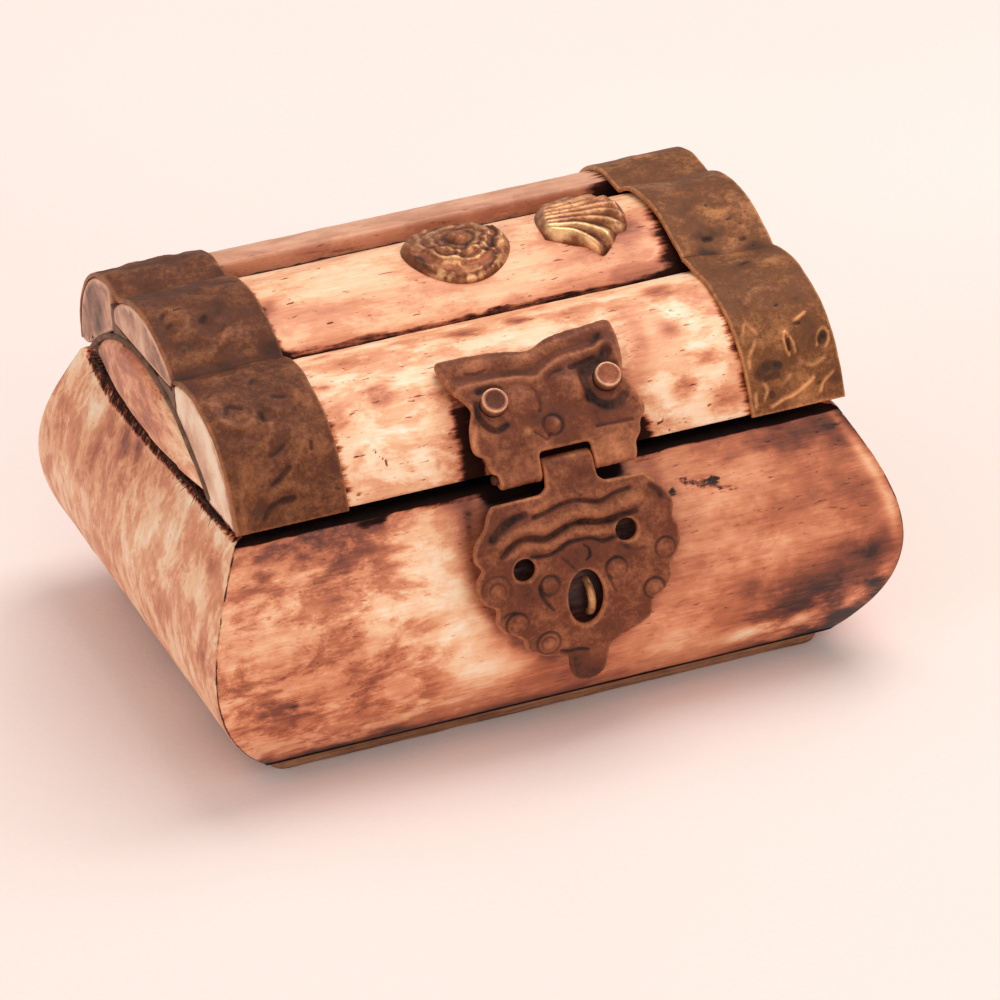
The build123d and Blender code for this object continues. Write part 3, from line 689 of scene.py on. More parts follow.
def front_look(x, y, z):
    p = np.stack([x, y, z], -1)
    wx = 1.3 * fbm(p, 5, 4, 21)
    wz = 0.9 * fbm(p, 4, 4, 22)
    u, v = x + wx, z + wz
    left = step_up(-x, 8, 20)
    tone = 0.59 - 0.09 * step_up(x, 22, 34)
    tone += blobs(u, v, (
        (-13, 21, 4.6, 9, 0.26), (-11, 14, 4.0, 4.5, 0.2), (-9, 9.5, 4, 2.6, 0.16), (-21, 21, 4, 3, 0.08),
        (-28, 28.2, 8, 1.7, -0.26), (-24, 25.6, 3.2, 1.6, -0.15), (-30, 16, 7, 2.6, -0.1),
        (-26, 12.2, 9, 1.7, -0.15), (-33, 10, 6, 3, -0.1), (-17.3, 18.4, 1.3, 1.8, -0.1),
        (-25, 7.2, 3, 1.3, 0.12), (-14, 6.5, 4, 1.6, 0.05), (-20, 9.4, 6, 1.0, -0.08),
        (0, 6.6, 9, 2.0, -0.16), (3, 3.6, 12, 1.4, -0.1), (13.5, 6.5, 6, 3.2, 0.14),
        (22, 12.5, 5, 1.6, -0.12), (30, 12.2, 7, 2.2, -0.24), (36, 14.5, 4, 2.2, -0.28),
        (27, 8.6, 8, 2.2, -0.26), (37, 8, 4, 4, -0.26), (31, 3.4, 8, 2.6, -0.4),
        (34.6, 7.6, 1.2, 1.4, 0.5), (26.5, 4.2, 3.0, 1.4, 0.3), (23.4, 6.4, 1.8, 0.9, 0.2),
        (38.2, 10.8, 1.3, 1.0, 0.25), (32, 17.2, 4.5, 1.4, 0.12), (26, 18, 3, 1.3, 0.06),
        (25, 21.2, 12, 1.0, -0.07), (17, 23.2, 5, 1.2, 0.05), (29, 28.2, 9, 1.3, -0.3),
        (35.5, 27.5, 3, 3, -0.18)))
    tone += -0.34 * step_up(4.8 - v, 0, 3.6) * step_up(14 - x, 0, 16) - 0.12 * step_up(3.2 - v, 0, 2)
    tone += blobs(u, v, ((22, 5.4, 1.4, 1.0, 0.3), (28.4, 6.2, 1.6, 0.9, 0.3), (31, 4.4, 1.2, 0.8, 0.34),
                         (-19.5, 19.6, 3.2, 1.4, 0.1), (-31.4, 13.2, 1.6, 1.0, 0.1),
                         (-26.6, 9.6, 2.4, 0.8, 0.14), (-33.4, 4.6, 1.6, 1.0, 0.14),
                         (-30.4, 22.4, 4, 1.4, 0.06), (36.6, 20.6, 3, 2.6, -0.06)))
    # darker along the top edge, under the lid: staining, and painted shade of the gap under the lid
    tone += -0.1 * step_up(v, 28.4, 30.0)
    stain_and_shade = 0.66 * step_up(v, 28.9, 30.0) + 0.26 * bell(near_line(x, z, ((-34, 29), (-8, 29))), 1.4)
    stain_and_shade += 0.3 * bell(near_line(u, v, ((22, 28.6), (36, 28.0))), 1.2)
    # darker along the outline of the lower hasp plate: staining, and painted shadow of the plate, which
    # stands off the panel
    hug = near_line(x, z, ((-9.0, 28.0), (-9.7, 24), (-9.3, 18.5), (-5.9, 13.6), (-1.6, 10.4)))
    tone += -0.24 * bell(hug, 1.2) - 0.08 * bell(hug, 2.6)
    stain_and_shade += 0.5 * bell(hug, 0.7) * step_up(z, 9, 16)
    hug = near_line(x, z, ((12.4, 28), (13.2, 22), (11.6, 17.5), (9.2, 14), (5.0, 10.6)))
    tone += -0.14 * bell(hug, 1.2)
    stain_and_shade += 0.25 * bell(hug, 0.5)
    # the outline of the lower hasp plate; the panel inside it gets painted shadow of the plate, darkest at
    # the top under the tabs
    behind = np.array(((-7.2, 31), (-8.6, 27.6), (-9.3, 24.6), (-9.1, 20.5), (-7.6, 17.2), (-4.8, 14.0),
                       (-1.2, 12.2), (3.6, 11.9), (8.0, 14.4), (9.4, 17.0), (11.2, 20.4), (11.7, 25.0),
                       (10.0, 31)))
    flat = np.stack([x.ravel(), z.ravel()], -1)
    depth = np.where(inside(flat, behind), edge_distance(flat, [behind]), 0.0).reshape(x.shape)
    plate_shadow = step_up(depth, 0.1, 2.4)
    # painted shade, nearly black: in the gap under the lid at the top, and in the recess over the bottom
    # board at the foot
    shade = np.maximum(step_up(z, 29.4, 29.95), step_up(2.3 - z, 0, 0.4))
    stain_and_shade = np.clip(stain_and_shade, 0, 1) + 1.4 * shade + plate_shadow * (0.62 + 0.7 * step_up(z, 27.6, 29.0))
    tone -= 0.42 * plate_shadow
    # a darker foot: painted shade in the recess over the bottom board
    stain_and_shade += 0.5 * step_up(2.5 - z, 0, 0.7)
    tone = tone * (1 - 0.9 * shade)
    tone += 0.05 * fbm(p, 1.5, 4, 35)
    mottle = 0.3 + 0.55 * left + 0.6 * step_up(x, 18, 26) * step_up(13 - z, 0, 6)
    crack = near_line(u, v, ((14.6, 25.6), (16.6, 26.3), (18.4, 25.9), (19.6, 25.4)))
    crack2 = near_line(u, v, ((17.6, 25.4), (20.6, 24.6), (22.4, 24.3)))
    crack3 = near_line(u, v, ((24.6, 24.6), (26.2, 24.4)))
    rag = 0.55 + 0.45 * fbm(p, 0.8, 3, 31)
    flaw = np.clip(bell(crack, 0.62) + 0.8 * bell(crack2, 0.4) + 0.6 * bell(crack3, 0.3), 0, 1) * rag
    mark = 0.62 * np.clip(flaw * 1.25, 0, 1)
    seam = step_up(np.abs(x) - RIM_X - bow(z), -0.34, -0.05)
    mark = np.maximum(mark, 0.75 * seam * (fbm(p, 3.0, 3, 33) > -0.35))
    tone += 0.28 * bell(np.abs(x) - RIM_X - bow(z) + 1.1, 0.7) * step_up(x, 10, 30) * step_up(z, 12, 20)
    return {"tone": tone, "mottle": mottle, "mark": mark, "stain_and_shade": stain_and_shade, "pit": 0.42 * np.clip(flaw, 0, 1)}


def side_look(x, y, z):
    p = np.stack([x, y, z], -1)
    wy = 1.5 * fbm(p, 5, 4, 41)
    wz = 1.1 * fbm(p, 4, 4, 42)
    u, v = y + wy, z + wz
    tone = 0.72 + blobs(u, v, (
        (-29, 18.3, 2.2, 2.2, -0.18), (-24, 26.6, 2.4, 1.2, -0.2), (-10, 24, 8, 4, 0.08),
        (2, 27.5, 8, 2.0, -0.2), (9, 27, 5, 2.4, -0.2), (15, 22, 4, 3, -0.2), (4, 23, 5, 1.6, -0.1),
        (-3, 19, 5, 2.4, 0.1), (17, 27, 4, 1.4, 0.16), (20, 17, 5, 1.8, 0.16), (27, 21, 4, 4, -0.12),
        (-24, 20, 3, 3, 0.04), (-14, 17, 4, 1.6, -0.08), (-20, 12, 6, 4, 0.04), (0, 10, 14, 4, 0.02)))
    tone += 0.12 * step_up(v, 27.5, 30) - 0.12 * step_up(6 - v, 0, 4)
    seam = step_up(np.abs(y) - RIM_Y - bow(z), -0.3, -0.05)
    mark = 0.6 * seam * (fbm(p, 3.0, 3, 43) > -0.3)
    band = np.interp(y, (-29, -22, -8, 6, 16, 24, 27), (0.2, 0.5, 0.9, 1.4, 1.5, 0.7, 0.2))
    # a band of staining under the rim, and a dark foot of painted shade in the recess over the bottom board
    stain_and_shade = 0.9 * step_up(z, RIM_Z - band - 0.5, RIM_Z - band + 0.4) + 1.2 * step_up(2.2 - z, 0, 0.4)
    tone += 0.06 * fbm(p, 2.0, 4, 45)
    return {"tone": tone, "mottle": 0.66 + 0 * x, "mark": mark, "stain_and_shade": stain_and_shade, "pit": 0 * x}


def plain_look(seed):
    """The sides that the photograph doesn't show: the same bone, its blotches by noise alone."""
    def look(x, y, z):
        p = np.stack([x, y, z], -1)
        broad = fbm(p, 16, 4, seed)
        # darker towards the bottom, and under the lid at the top, where it is staining with painted shade
        # of the gap
        tone = 0.64 + 0.2 * broad - 0.26 * step_up(5.5 - z, 0, 4) - 0.2 * step_up(z, 28.6, 30)
        mottle = 0.6 + 0.4 * fbm(p, 20, 2, seed + 3)
        over = np.where(np.abs(x) - RIM_X > np.abs(y) - RIM_Y, np.abs(y) - RIM_Y, np.abs(x) - RIM_X)
        mark = 0.6 * step_up(over - bow(z), -0.3, -0.05)
        # under the lid, staining with painted shade of the gap; the dark foot is painted shade in the
        # recess over the bottom board
        stain_and_shade = 0.6 * step_up(z, 29.0, 30.0) + 1.2 * step_up(1.8 - z, 0, 0.25)
        return {"tone": tone, "mottle": np.clip(mottle, 0, 1), "mark": mark, "stain_and_shade": stain_and_shade, "pit": 0 * x}
    return look


finish_piece(bone_panel("front", front_look), "base", BONE_X, "bone", "bone_front_panel")
finish_piece(bone_panel("left", side_look), "base", BONE_SIDE, "bone", "bone_left_panel")
finish_piece(bone_panel("rear", plain_look(51)), "base", BONE_X, "bone", "bone_rear_panel")
finish_piece(bone_panel("right", plain_look(61)), "base", BONE_SIDE, "bone", "bone_right_panel")


def rim_residue():
    """Dark crumbs and stray fibres of old glue along the left rim, below the gable."""
    t = np.arange(-24.5, 25.5, 0.2)
    wave = fbm(flat3(t, 0 * t), 2.2, 4, 301)
    wide = 0.55 + 0.35 * wave + 0.25 * bell(t - 8, 12)
    high = np.clip(0.22 + 0.2 * fbm(flat3(t, 5 + 0 * t), 1.3, 4, 302), 0.06, 0.42)
    taper = 0.3 + 0.7 * step_up(t, -24.5, -21) * step_up(25.3 - t, 0, 3)
    a = np.linspace(0, 2 * np.pi, 14, endpoint=False)
    turned = np.stack(np.broadcast_arrays(t[:, None], np.cos(a), np.sin(a)), -1)
    lump = 0.75 + 0.5 * fbm(turned, 0.8, 3, 303)
    x = -34.75 + (wide * taper)[:, None] * lump * np.cos(a) * 0.75
    z = RIM_Z - 0.08 + (high * taper + 0.04)[:, None] * lump * np.sin(a)
    rings = np.stack([x, np.broadcast_to(t[:, None], x.shape), np.minimum(z, 30.6)], -1)
    obj = loft("rim_residue", rings, lambda p: {"pale": np.zeros(len(p))}, 0.05, 60, (0, 2))
    finish_piece(obj, "base", GLUE, "resin")
    rng = np.random.default_rng(304)
    points, faces = [], []
    for _ in range(60):
        y = rng.uniform(-21, 23)
        start = np.array([-35.0 + rng.uniform(-0.3, 0.3), y, RIM_Z - 0.02])
        lean = np.array([rng.uniform(-0.9, 0.2), rng.uniform(-1, 1), rng.uniform(-0.55, 0.1)])
        step = lean * rng.uniform(0.14, 0.36)
        curl = np.array([-0.1, rng.uniform(-0.12, 0.12), -0.14])
        line = np.array([start + step * k + curl * k * k * 0.4 for k in range(4)])
        line[:, 2] = np.minimum(line[:, 2], 30.5)
        for k, centre in enumerate(line):
            r = (0.07, 0.055, 0.035, 0.012)[k]
            for m in range(3):
                b = 2.1 * m
                points.append(centre + r * np.array([math.cos(b), 0.35 * math.sin(b), math.sin(b)]))
        first = len(points) - 12
        for k in range(3):
            for m in range(3):
                n = (m + 1) % 3
                faces.append((first + 3 * k + m, first + 3 * k + n, first + 3 * k + 3 + n,
                              first + 3 * k + 3 + m))
        faces += [(first + 2, first + 1, first), (first + 9, first + 10, first + 11)]
    points = np.array(points)
    hairs = make_mesh("rim_fibres", points, faces, {"pale": np.zeros(len(points))}, 60)
    finish_piece(hairs, "base", GLUE, "resin")


rim_residue()


BOARD_INSET = 2.05
BOARD_CORNER_R = 2.4
BOARD_PROFILE = ((0.0, 1.3), (0.02, 0.9), (0.16, 0.55), (0.5, 0.3), (0.95, 0.16), (1.3, 0.1), (1.38, 0.2))


def board_piece():
    """The bottom board: round corners, and edges worn away underneath."""
    loop = rounded_rectangle(RIM_X - BOARD_INSET, RIM_Y - BOARD_INSET, BOARD_CORNER_R, 10, 0.6)
    normal = loop_normals(loop)
    rings = []
    for z, inset in BOARD_PROFILE:
        p3 = np.c_[loop, np.full(len(loop), z)]
        worn = 0.12 * fbm(p3, 3.5, 4, 311) * (z < 1.2)
        rings.append(np.c_[loop - normal * (inset + np.maximum(worn, -0.1))[:, None], p3[:, 2]])
    obj = loft("board_wood", np.array(rings), None, 2.5, 50, (0, 1))
    finish_piece(obj, "base", BOARD, "wood", "bottom_board")


board_piece()


# =====================================================================
# lid: staves, fillers and gables
# =====================================================================

def circle_through(a, b, c):
    """Centre and radius of the circle through three (y, z) points."""
    (ax, ay), (bx, by), (cx, cy) = a, b, c
    d = 2 * (ax * (by - cy) + bx * (cy - ay) + cx * (ay - by))
    aa, bb, cc = ax ** 2 + ay ** 2, bx ** 2 + by ** 2, cx ** 2 + cy ** 2
    ux = (aa * (by - cy) + bb * (cy - ay) + cc * (ay - by)) / d
    uy = (aa * (cx - bx) + bb * (ax - cx) + cc * (bx - ax)) / d
    return ux, uy, math.hypot(ax - ux, ay - uy)


CORE = circle_through(*CORE_ARC)


def core_z(y):
    return CORE[1] + np.sqrt(CORE[2] ** 2 - (np.asarray(y, float) - CORE[0]) ** 2)


def skew(y):
    """How far the lid has slipped along x at y; it sits square at the front rim."""
    return -LID_SKEW * (y + RIM_Y)


def core_run(y0, y1, gap, count=20):
    y = np.linspace(y0, y1, count)
    return np.stack([y, core_z(y) + gap], -1)


# sections (y, z) of the three staves: a dome, then the under side
FRONT_LOOP = np.vstack([arc(FRONT_DOME, 5.9, 112.2), core_run(-10.6, -19.25, 0.05),
                        [(-19.25, STAVE_FOOT_Z)]])
TOP_LOOP = np.vstack([arc(TOP_DOME, 46.15, 128.4), [(9.8, 40.55)], [(-10.3, 40.55)]])
REAR_LOOP = np.vstack([arc(REAR_DOME, 85.8, 176.2), [(21.8, REAR_FOOT_Z)], [(10.6, 39.4)]])


def dome_angle(dome, y, z):
    return np.arctan2(z - dome[1], dome[0] - y)


def stave(name, loop, dome, look_fn, end_tone, seed):
    """A bone stave along the lid, with rounded ends and its look in vertex attributes."""
    ring = soften(resample(loop, 0.27, closed=True), 4)
    normal = loop_normals(ring)
    off_dome = np.abs(np.hypot(ring[:, 0] - dome[0], ring[:, 1] - dome[1]) - dome[2])
    on_dome = bell(np.maximum(off_dome - 0.03, 0), 0.05)
    r = 0.3
    ends = np.array([0.0, 0.04, 0.12, 0.22, r])
    inner = np.linspace(LID_LEFT + r, LID_RIGHT - r, int((LID_RIGHT - LID_LEFT) / 0.3))[1:-1]
    xs = np.r_[LID_LEFT + ends, inner, (LID_RIGHT - ends)[::-1]]
    end_gap = np.minimum(xs - LID_LEFT, LID_RIGHT - xs)
    shrink = edge_drop(end_gap, r)
    x = np.broadcast_to(xs[:, None], (len(xs), len(ring))).copy()
    y = ring[None, :, 0] - normal[None, :, 0] * shrink[:, None]
    z = ring[None, :, 1] - normal[None, :, 1] * shrink[:, None]
    s = dome_angle(dome, y, z) * dome[2]
    look = look_fn(x, s, y, z)
    base = np.stack([x, y, z], -1)
    lift = 0.05 * fbm(base, 7, 3, seed) + 0.02 * fbm(base, 1.2, 3, seed + 1)
    lift = (lift - look["pit"]) * on_dome[None, :]
    y = y + normal[None, :, 0] * lift
    z = z + normal[None, :, 1] * lift
    rings = np.stack([x + skew(y), y, z], -1)

    def attrs(points):
        extra = points[rings.shape[0] * rings.shape[1]:]
        end = end_tone + 0.24 * fbm(extra, 5, 4, seed + 9, (1, 0.6, 1))
        at_end = {"tone": end, "mottle": 0.5 + 0 * end, "mark": 0 * end, "stain_and_shade": 0 * end}
        return {key: np.r_[np.ravel(look[key]), values] for key, values in at_end.items()}

    return loft(name, rings, attrs, 0.6, 50, (1, 2))


def line_marks(u, v, lines, width, p, seed):
    """Thin dark strokes with ragged sides."""
    rag = 0.75 + 0.5 * fbm(p, 0.7, 2, seed)
    total = np.zeros(u.shape)
    for stroke in lines:
        total = np.maximum(total, bell(near_line(u, v, stroke), width) * rag)
    return np.clip(total, 0, 1)


def brass_edge_dark(x, edge, side, reach, under=3.0):
    """Darkening at an edge of the brass, strongest beside it: dirt out from under the straps, and beside
    the upper hasp plate staining with painted shadow of the plate.
    """
    d = (x - edge) * side
    return np.clip(1.0 - np.maximum(d, 0) / reach, 0, 1) ** 1.3 * step_up(d, -under - 1, -under)


def front_stave_look(x, s, y, z):
    p = np.stack([x, y, z], -1)
    u = x + 0.5 * fbm(p, 3, 3, 71)
    v = s + 0.4 * fbm(p, 3, 3, 72)
    tone = 0.79 + blobs(u, v, (
        (-14, 8.5, 5, 4, 0.08), (17, 9, 5, 4, 0.04), (-15.6, 13.1, 1.6, 1.4, -0.44),
        (-15.6, 13.1, 0.6, 0.5, 0.14), (19.4, 19.8, 2.1, 1.5, -0.46), (17.6, 6.0, 1.4, 1.2, -0.42),
        (17.6, 6.0, 0.5, 0.5, 0.14), (21.0, 9.0, 1.5, 1.2, -0.34), (18.4, 13.0, 1.2, 0.9, -0.3),
        (-3.4, 19.6, 1.9, 1.2, -0.34), (3.4, 20.2, 1.5, 1.5, -0.4), (-17, 19, 2.4, 1.2, -0.18),
        (-19, 21.8, 1.6, 0.7, -0.28), (23.2, 15.4, 1.4, 2.6, -0.2), (-20.4, 10.6, 1.3, 2.0, -0.2),
        (14.2, 17.4, 1.6, 2.2, -0.1), (19.5, 11, 4, 8, 0.06), (-13.6, 21.2, 4.6, 0.6, -0.14),
        (9, 19.6, 2.6, 1.4, -0.14), (14.6, 12.8, 0.9, 2.4, -0.12), (22.4, 4.0, 2.2, 1.2, -0.24),
        (-20.6, 15.8, 0.9, 0.8, -0.26), (8.4, 22.2, 3, 0.8, -0.14)))
    low = step_up(15 - s, 0, 3)
    # left of the upper hasp plate: staining, and painted shadow of the plate, which stands off the stave,
    # widest at its lower part
    stain_and_shade = 0.74 * brass_edge_dark(x, -8.0, -1, 4.2, 1.4) * step_up(13 - s, 0, 5) * step_up(17 - s, 0, 1.5)
    stain_and_shade += 0.3 * brass_edge_dark(x, -8.0, -1, 1.2, 1.4) * step_up(17 - s, 0, 1.5)
    stain_and_shade += 0.7 * brass_edge_dark(x, -21.95, 1, 2.2) * (0.6 + 0.4 * low)
    stain_and_shade += 0.75 * brass_edge_dark(x, 24.7, -1, 2.2) * (0.5 + 0.5 * step_up(20 - s, 0, 8))
    # right of the upper hasp plate: staining, and painted shadow of the plate
    stain_and_shade += 0.55 * brass_edge_dark(x, 11.8, 1, 2.4, 1.2) * step_up(17 - s, 0, 3)
    stain_and_shade += 0.8 * brass_edge_dark(x, 12.2, 1, 3.4, 1.4) * step_up(5.6 - s, 0, 2.6)
    stain_and_shade += 0.8 * step_up(v, 23.9, 24.9) + 0.2 * bell(v - 23.4, 0.9)
    # a darker foot: painted shade in the gap over the rim of the base
    stain_and_shade += 0.5 * step_up(1.7 - s, 0, 0.7)
    # painted shade behind the hasp's knuckle, in the gap between the lower plate's tongue and the notch of
    # the upper plate
    stain_and_shade += 1.2 * step_up(4.6 - s, 0, 0.9) * step_up(x, -3.2, -1.4) * step_up(7.4 - x, 0, 1.8)
    # darker beside the lower part of the upper hasp plate: painted shadow of the plate, with staining
    tone += -0.22 * brass_edge_dark(x, -8.6, -1, 4.4) * low - 0.14 * brass_edge_dark(x, 12.0, 1, 4.0) * low
    mark = line_marks(u, v, (
        ((-19.8, 15.5), (-18.6, 15.7)), ((-18.0, 15.7), (-17.2, 15.7)), ((-16.8, 15.6), (-15.9, 15.6)),
        ((-15.4, 16.2), (-14.6, 16.0)), ((-16.3, 17.0), (-15.8, 17.0)), ((-12.7, 17.7), (-12.3, 17.7)),
        ((-18.3, 7.0), (-18.0, 6.2), (-17.2, 5.4), (-17.0, 4.6)), ((-20.2, 6.5), (-19.2, 6.6)),
        ((14.5, 19.8), (15.4, 19.8)), ((19.4, 15.8), (20.0, 15.8)), ((15.1, 3.4), (14.9, 2.5), (15.3, 1.8)),
        ((14.4, 2.8), (15.6, 3.0)), ((18.4, 10.2), (19.0, 10.2)), ((23.6, 7.5), (24.4, 7.4)),
        ((20.4, 3.6), (22.2, 3.7)), ((-9.2, 18.6), (-8.8, 18.5)), ((-18.9, 9.2), (-18.6, 9.2))), 0.14, p,
        77)
    tip = step_up(13 - s, 0, 7) * step_up(LID_LEFT + 0.4 - x, 0, 0.3)
    return {"tone": tone - 0.3 * tip, "mottle": 0.66 + 0 * x, "mark": 0.8 * mark, "stain_and_shade": stain_and_shade,
            "pit": 0.14 * mark}


def top_stave_look(x, s, y, z):
    p = np.stack([x, y, z], -1)
    u = x + 0.5 * fbm(p, 3, 3, 81)
    v = s + 0.4 * fbm(p, 3, 3, 82)
    tone = 0.73 + blobs(u, v, (
        (-12, 24.5, 9, 2.4, 0.08), (-12, 17.6, 8, 1.5, -0.08), (-21.4, 19.4, 1.0, 1.2, -0.3),
        (-14, 20.6, 6, 1.2, 0.06), (17, 18.5, 6, 3.4, -0.22), (9.5, 17, 4, 2, 0.03),
        (21, 20.4, 2.2, 1.2, -0.24), (10, 26, 2, 2, 0.05), (2, 16.2, 5, 1.0, -0.06),
        (-4, 22, 3, 1.6, -0.04)))
    stain_and_shade = 0.7 * brass_edge_dark(x, -21.95, 1, 1.2) + 0.85 * brass_edge_dark(x, 24.9, -1, 3.6) * step_up(26 - s, 0, 5)
    stain_and_shade += 0.3 * brass_edge_dark(x, 24.7, -1, 5.0) * step_up(20 - s, 0, 4)
    stain_and_shade += 0.8 * step_up(13.5 - v, 0, 0.9) + 0.2 * bell(v - 14.2, 0.9) + 0.3 * step_up(v, 31.6, 32.8)
    tone += -0.14 * step_up(15.4 - s, 0, 1.6) * step_up(x, 2, 14) - 0.08 * step_up(14.4 - s, 0, 1.4)
    tone += -0.14 * step_up(s, 29.5, 32.5)
    mark = line_marks(u, v, (
        ((-20.2, 19.6), (-16.9, 19.5)), ((-19.8, 22.6), (-19.2, 22.6)), ((-15.8, 15.5), (-14.7, 15.4)),
        ((-11.3, 15.4), (-10.2, 15.4)), ((-11.6, 21.9), (-10.4, 21.9)), ((-7.6, 19.5), (-6.0, 19.4)),
        ((-15.9, 22.1), (-15.2, 22.0)), ((9.3, 20.9), (9.9, 20.9)), ((-13.6, 25.6), (-13.0, 25.6)),
        ((3.4, 26.8), (4.6, 26.8)), ((-18.0, 24.9), (-16.9, 24.9))), 0.12, p, 87)
    return {"tone": tone, "mottle": 0.42 + 0 * x, "mark": 0.7 * mark, "stain_and_shade": stain_and_shade, "pit": 0.12 * mark}


def rear_stave_look(x, s, y, z):
    p = np.stack([x, y, z], -1)
    tone = 0.68 + 0.08 * fbm(p, 9, 4, 91)
    tone += -0.1 * step_up(20.0 - s, 0, 1.2) - 0.14 * step_up(s, 33, 37)
    stain_and_shade = 0.6 * brass_edge_dark(x, -22.2, 1, 1.0) + 0.75 * brass_edge_dark(x, 24.5, -1, 3.4) + 0.5 * step_up(18.6 - s, 0, 0.5)
    rng = np.random.default_rng(95)
    strokes = []
    for _ in range(18):
        a, b, n = rng.uniform(-21, 22), rng.uniform(20, 35), rng.uniform(0.2, 1.4)
        strokes.append(((a, b), (a + n, b + rng.uniform(-0.05, 0.05))))
    mark = 0.6 * line_marks(x, s, strokes, 0.12, p, 97)
    return {"tone": tone, "mottle": 0.5 + 0 * x, "mark": mark, "stain_and_shade": stain_and_shade, "pit": 0.1 * mark}


def end_grain(obj, material):
    """Puts a second material on a stave's two ends."""
    obj.data.materials.append(material)
    for poly in obj.data.polygons:
        poly.material_index = 1 if abs(poly.normal.x) > 0.8 else 0


for name, loop, dome, look, end_tone, seed, bone in (
        ("front", FRONT_LOOP, FRONT_DOME, front_stave_look, 0.88, 101, BONE_STAVE),
        ("top", TOP_LOOP, TOP_DOME, top_stave_look, 0.6, 111, BONE_STAVE),
        ("rear", REAR_LOOP, REAR_DOME, rear_stave_look, 0.43, 121, BONE_REAR)):
    piece = stave("stave_" + name, loop, dome, look, end_tone, seed)
    finish_piece(piece, "lid", bone, "pale_bone", name + "_stave")
    end_grain(piece, BONE_END)


def wire(name, centre_line, radius, turns=20, attrs=None):
    """A round wire along 3-D points, closed at both ends."""
    p = resample(centre_line, 0.2)
    t = np.gradient(p, axis=0)
    t /= np.linalg.norm(t, axis=1)[:, None]
    side = np.tile([1.0, 0, 0], (len(p), 1))
    side -= (side * t).sum(1)[:, None] * t
    if np.abs(side).sum() < 1e-6 * len(p):
        side = np.tile([0, 1.0, 0], (len(p), 1))
    side /= np.linalg.norm(side, axis=1)[:, None]
    up = np.cross(t, side)
    a = np.linspace(0, 2 * np.pi, turns, endpoint=False)
    ring = np.cos(a)[None, :, None] * side[:, None] + np.sin(a)[None, :, None] * up[:, None]
    r = np.full(len(p), radius)
    r[0] = r[-1] = radius * 0.7
    points = p[:, None] + ring * r[:, None, None]
    flat = points.reshape(-1, 3)
    flat = flat + 0.015 * np.stack([fbm(flat, 0.8, 2, k) for k in (4, 5, 6)], -1)
    n, m = points.shape[:2]
    index = np.arange(n * m).reshape(n, m)
    faces = [tuple(q) for q in ring_quads(index)]
    faces += [tuple(index[0]), tuple(index[-1])]
    values = attrs or {"worn": 0.4, "hollow": 0.0}
    return make_mesh(name, flat, faces, {k: np.full(n * m, v) for k, v in values.items()}, 60)


def filler(name, loop, node, seed):
    """Dark glue that fills a seam, its upper side crusted."""
    ring = soften(resample(loop, 0.3, closed=True), 2)
    normal = loop_normals(ring)
    xs = np.linspace(LID_LEFT + 0.02, LID_RIGHT - 0.02, 236)
    x = np.broadcast_to(xs[:, None], (len(xs), len(ring))).copy()
    y = np.broadcast_to(ring[:, 0], x.shape).copy()
    z = np.broadcast_to(ring[:, 1], x.shape).copy()
    crust = 0.16 * fbm(np.stack([x, y, z], -1), 1.4, 4, seed)
    y, z = y + normal[:, 0] * crust, z + normal[:, 1] * crust
    rings = np.stack([x + skew(y), y, z], -1)
    obj = loft(name, rings, lambda p: {"pale": step_up(np.abs(p[:, 0] - 0.5), 34.2, 34.9)}, 0.5, 60, (1, 2))
    return finish_piece(obj, "lid", RESIN, "resin", node)


filler("filler_front", [(-10.6, 41.2), (-10.25, 41.2), (-10.15, 40.45), (-5.0, 40.45), (-5.0, core_z(-5.0)),
                        (-7.0, core_z(-7.0)), (-9.0, core_z(-9.0)), (-10.5, core_z(-10.5))],
       "front_seam_filler", 131)
filler("filler_rear", [(9.9, 42.2), (10.6, 42.8), (10.6, 39.6), (10.4, core_z(10.4)), (8.0, core_z(8.0)),
                       (5.5, core_z(5.5)), (5.5, 40.45), (9.75, 40.45)],
       "rear_seam_filler", 132)


GABLE_FEET = ((-20.3, 31.15), (20.1, 33.1))
GABLE_CROWN = (0.96, 40.12)


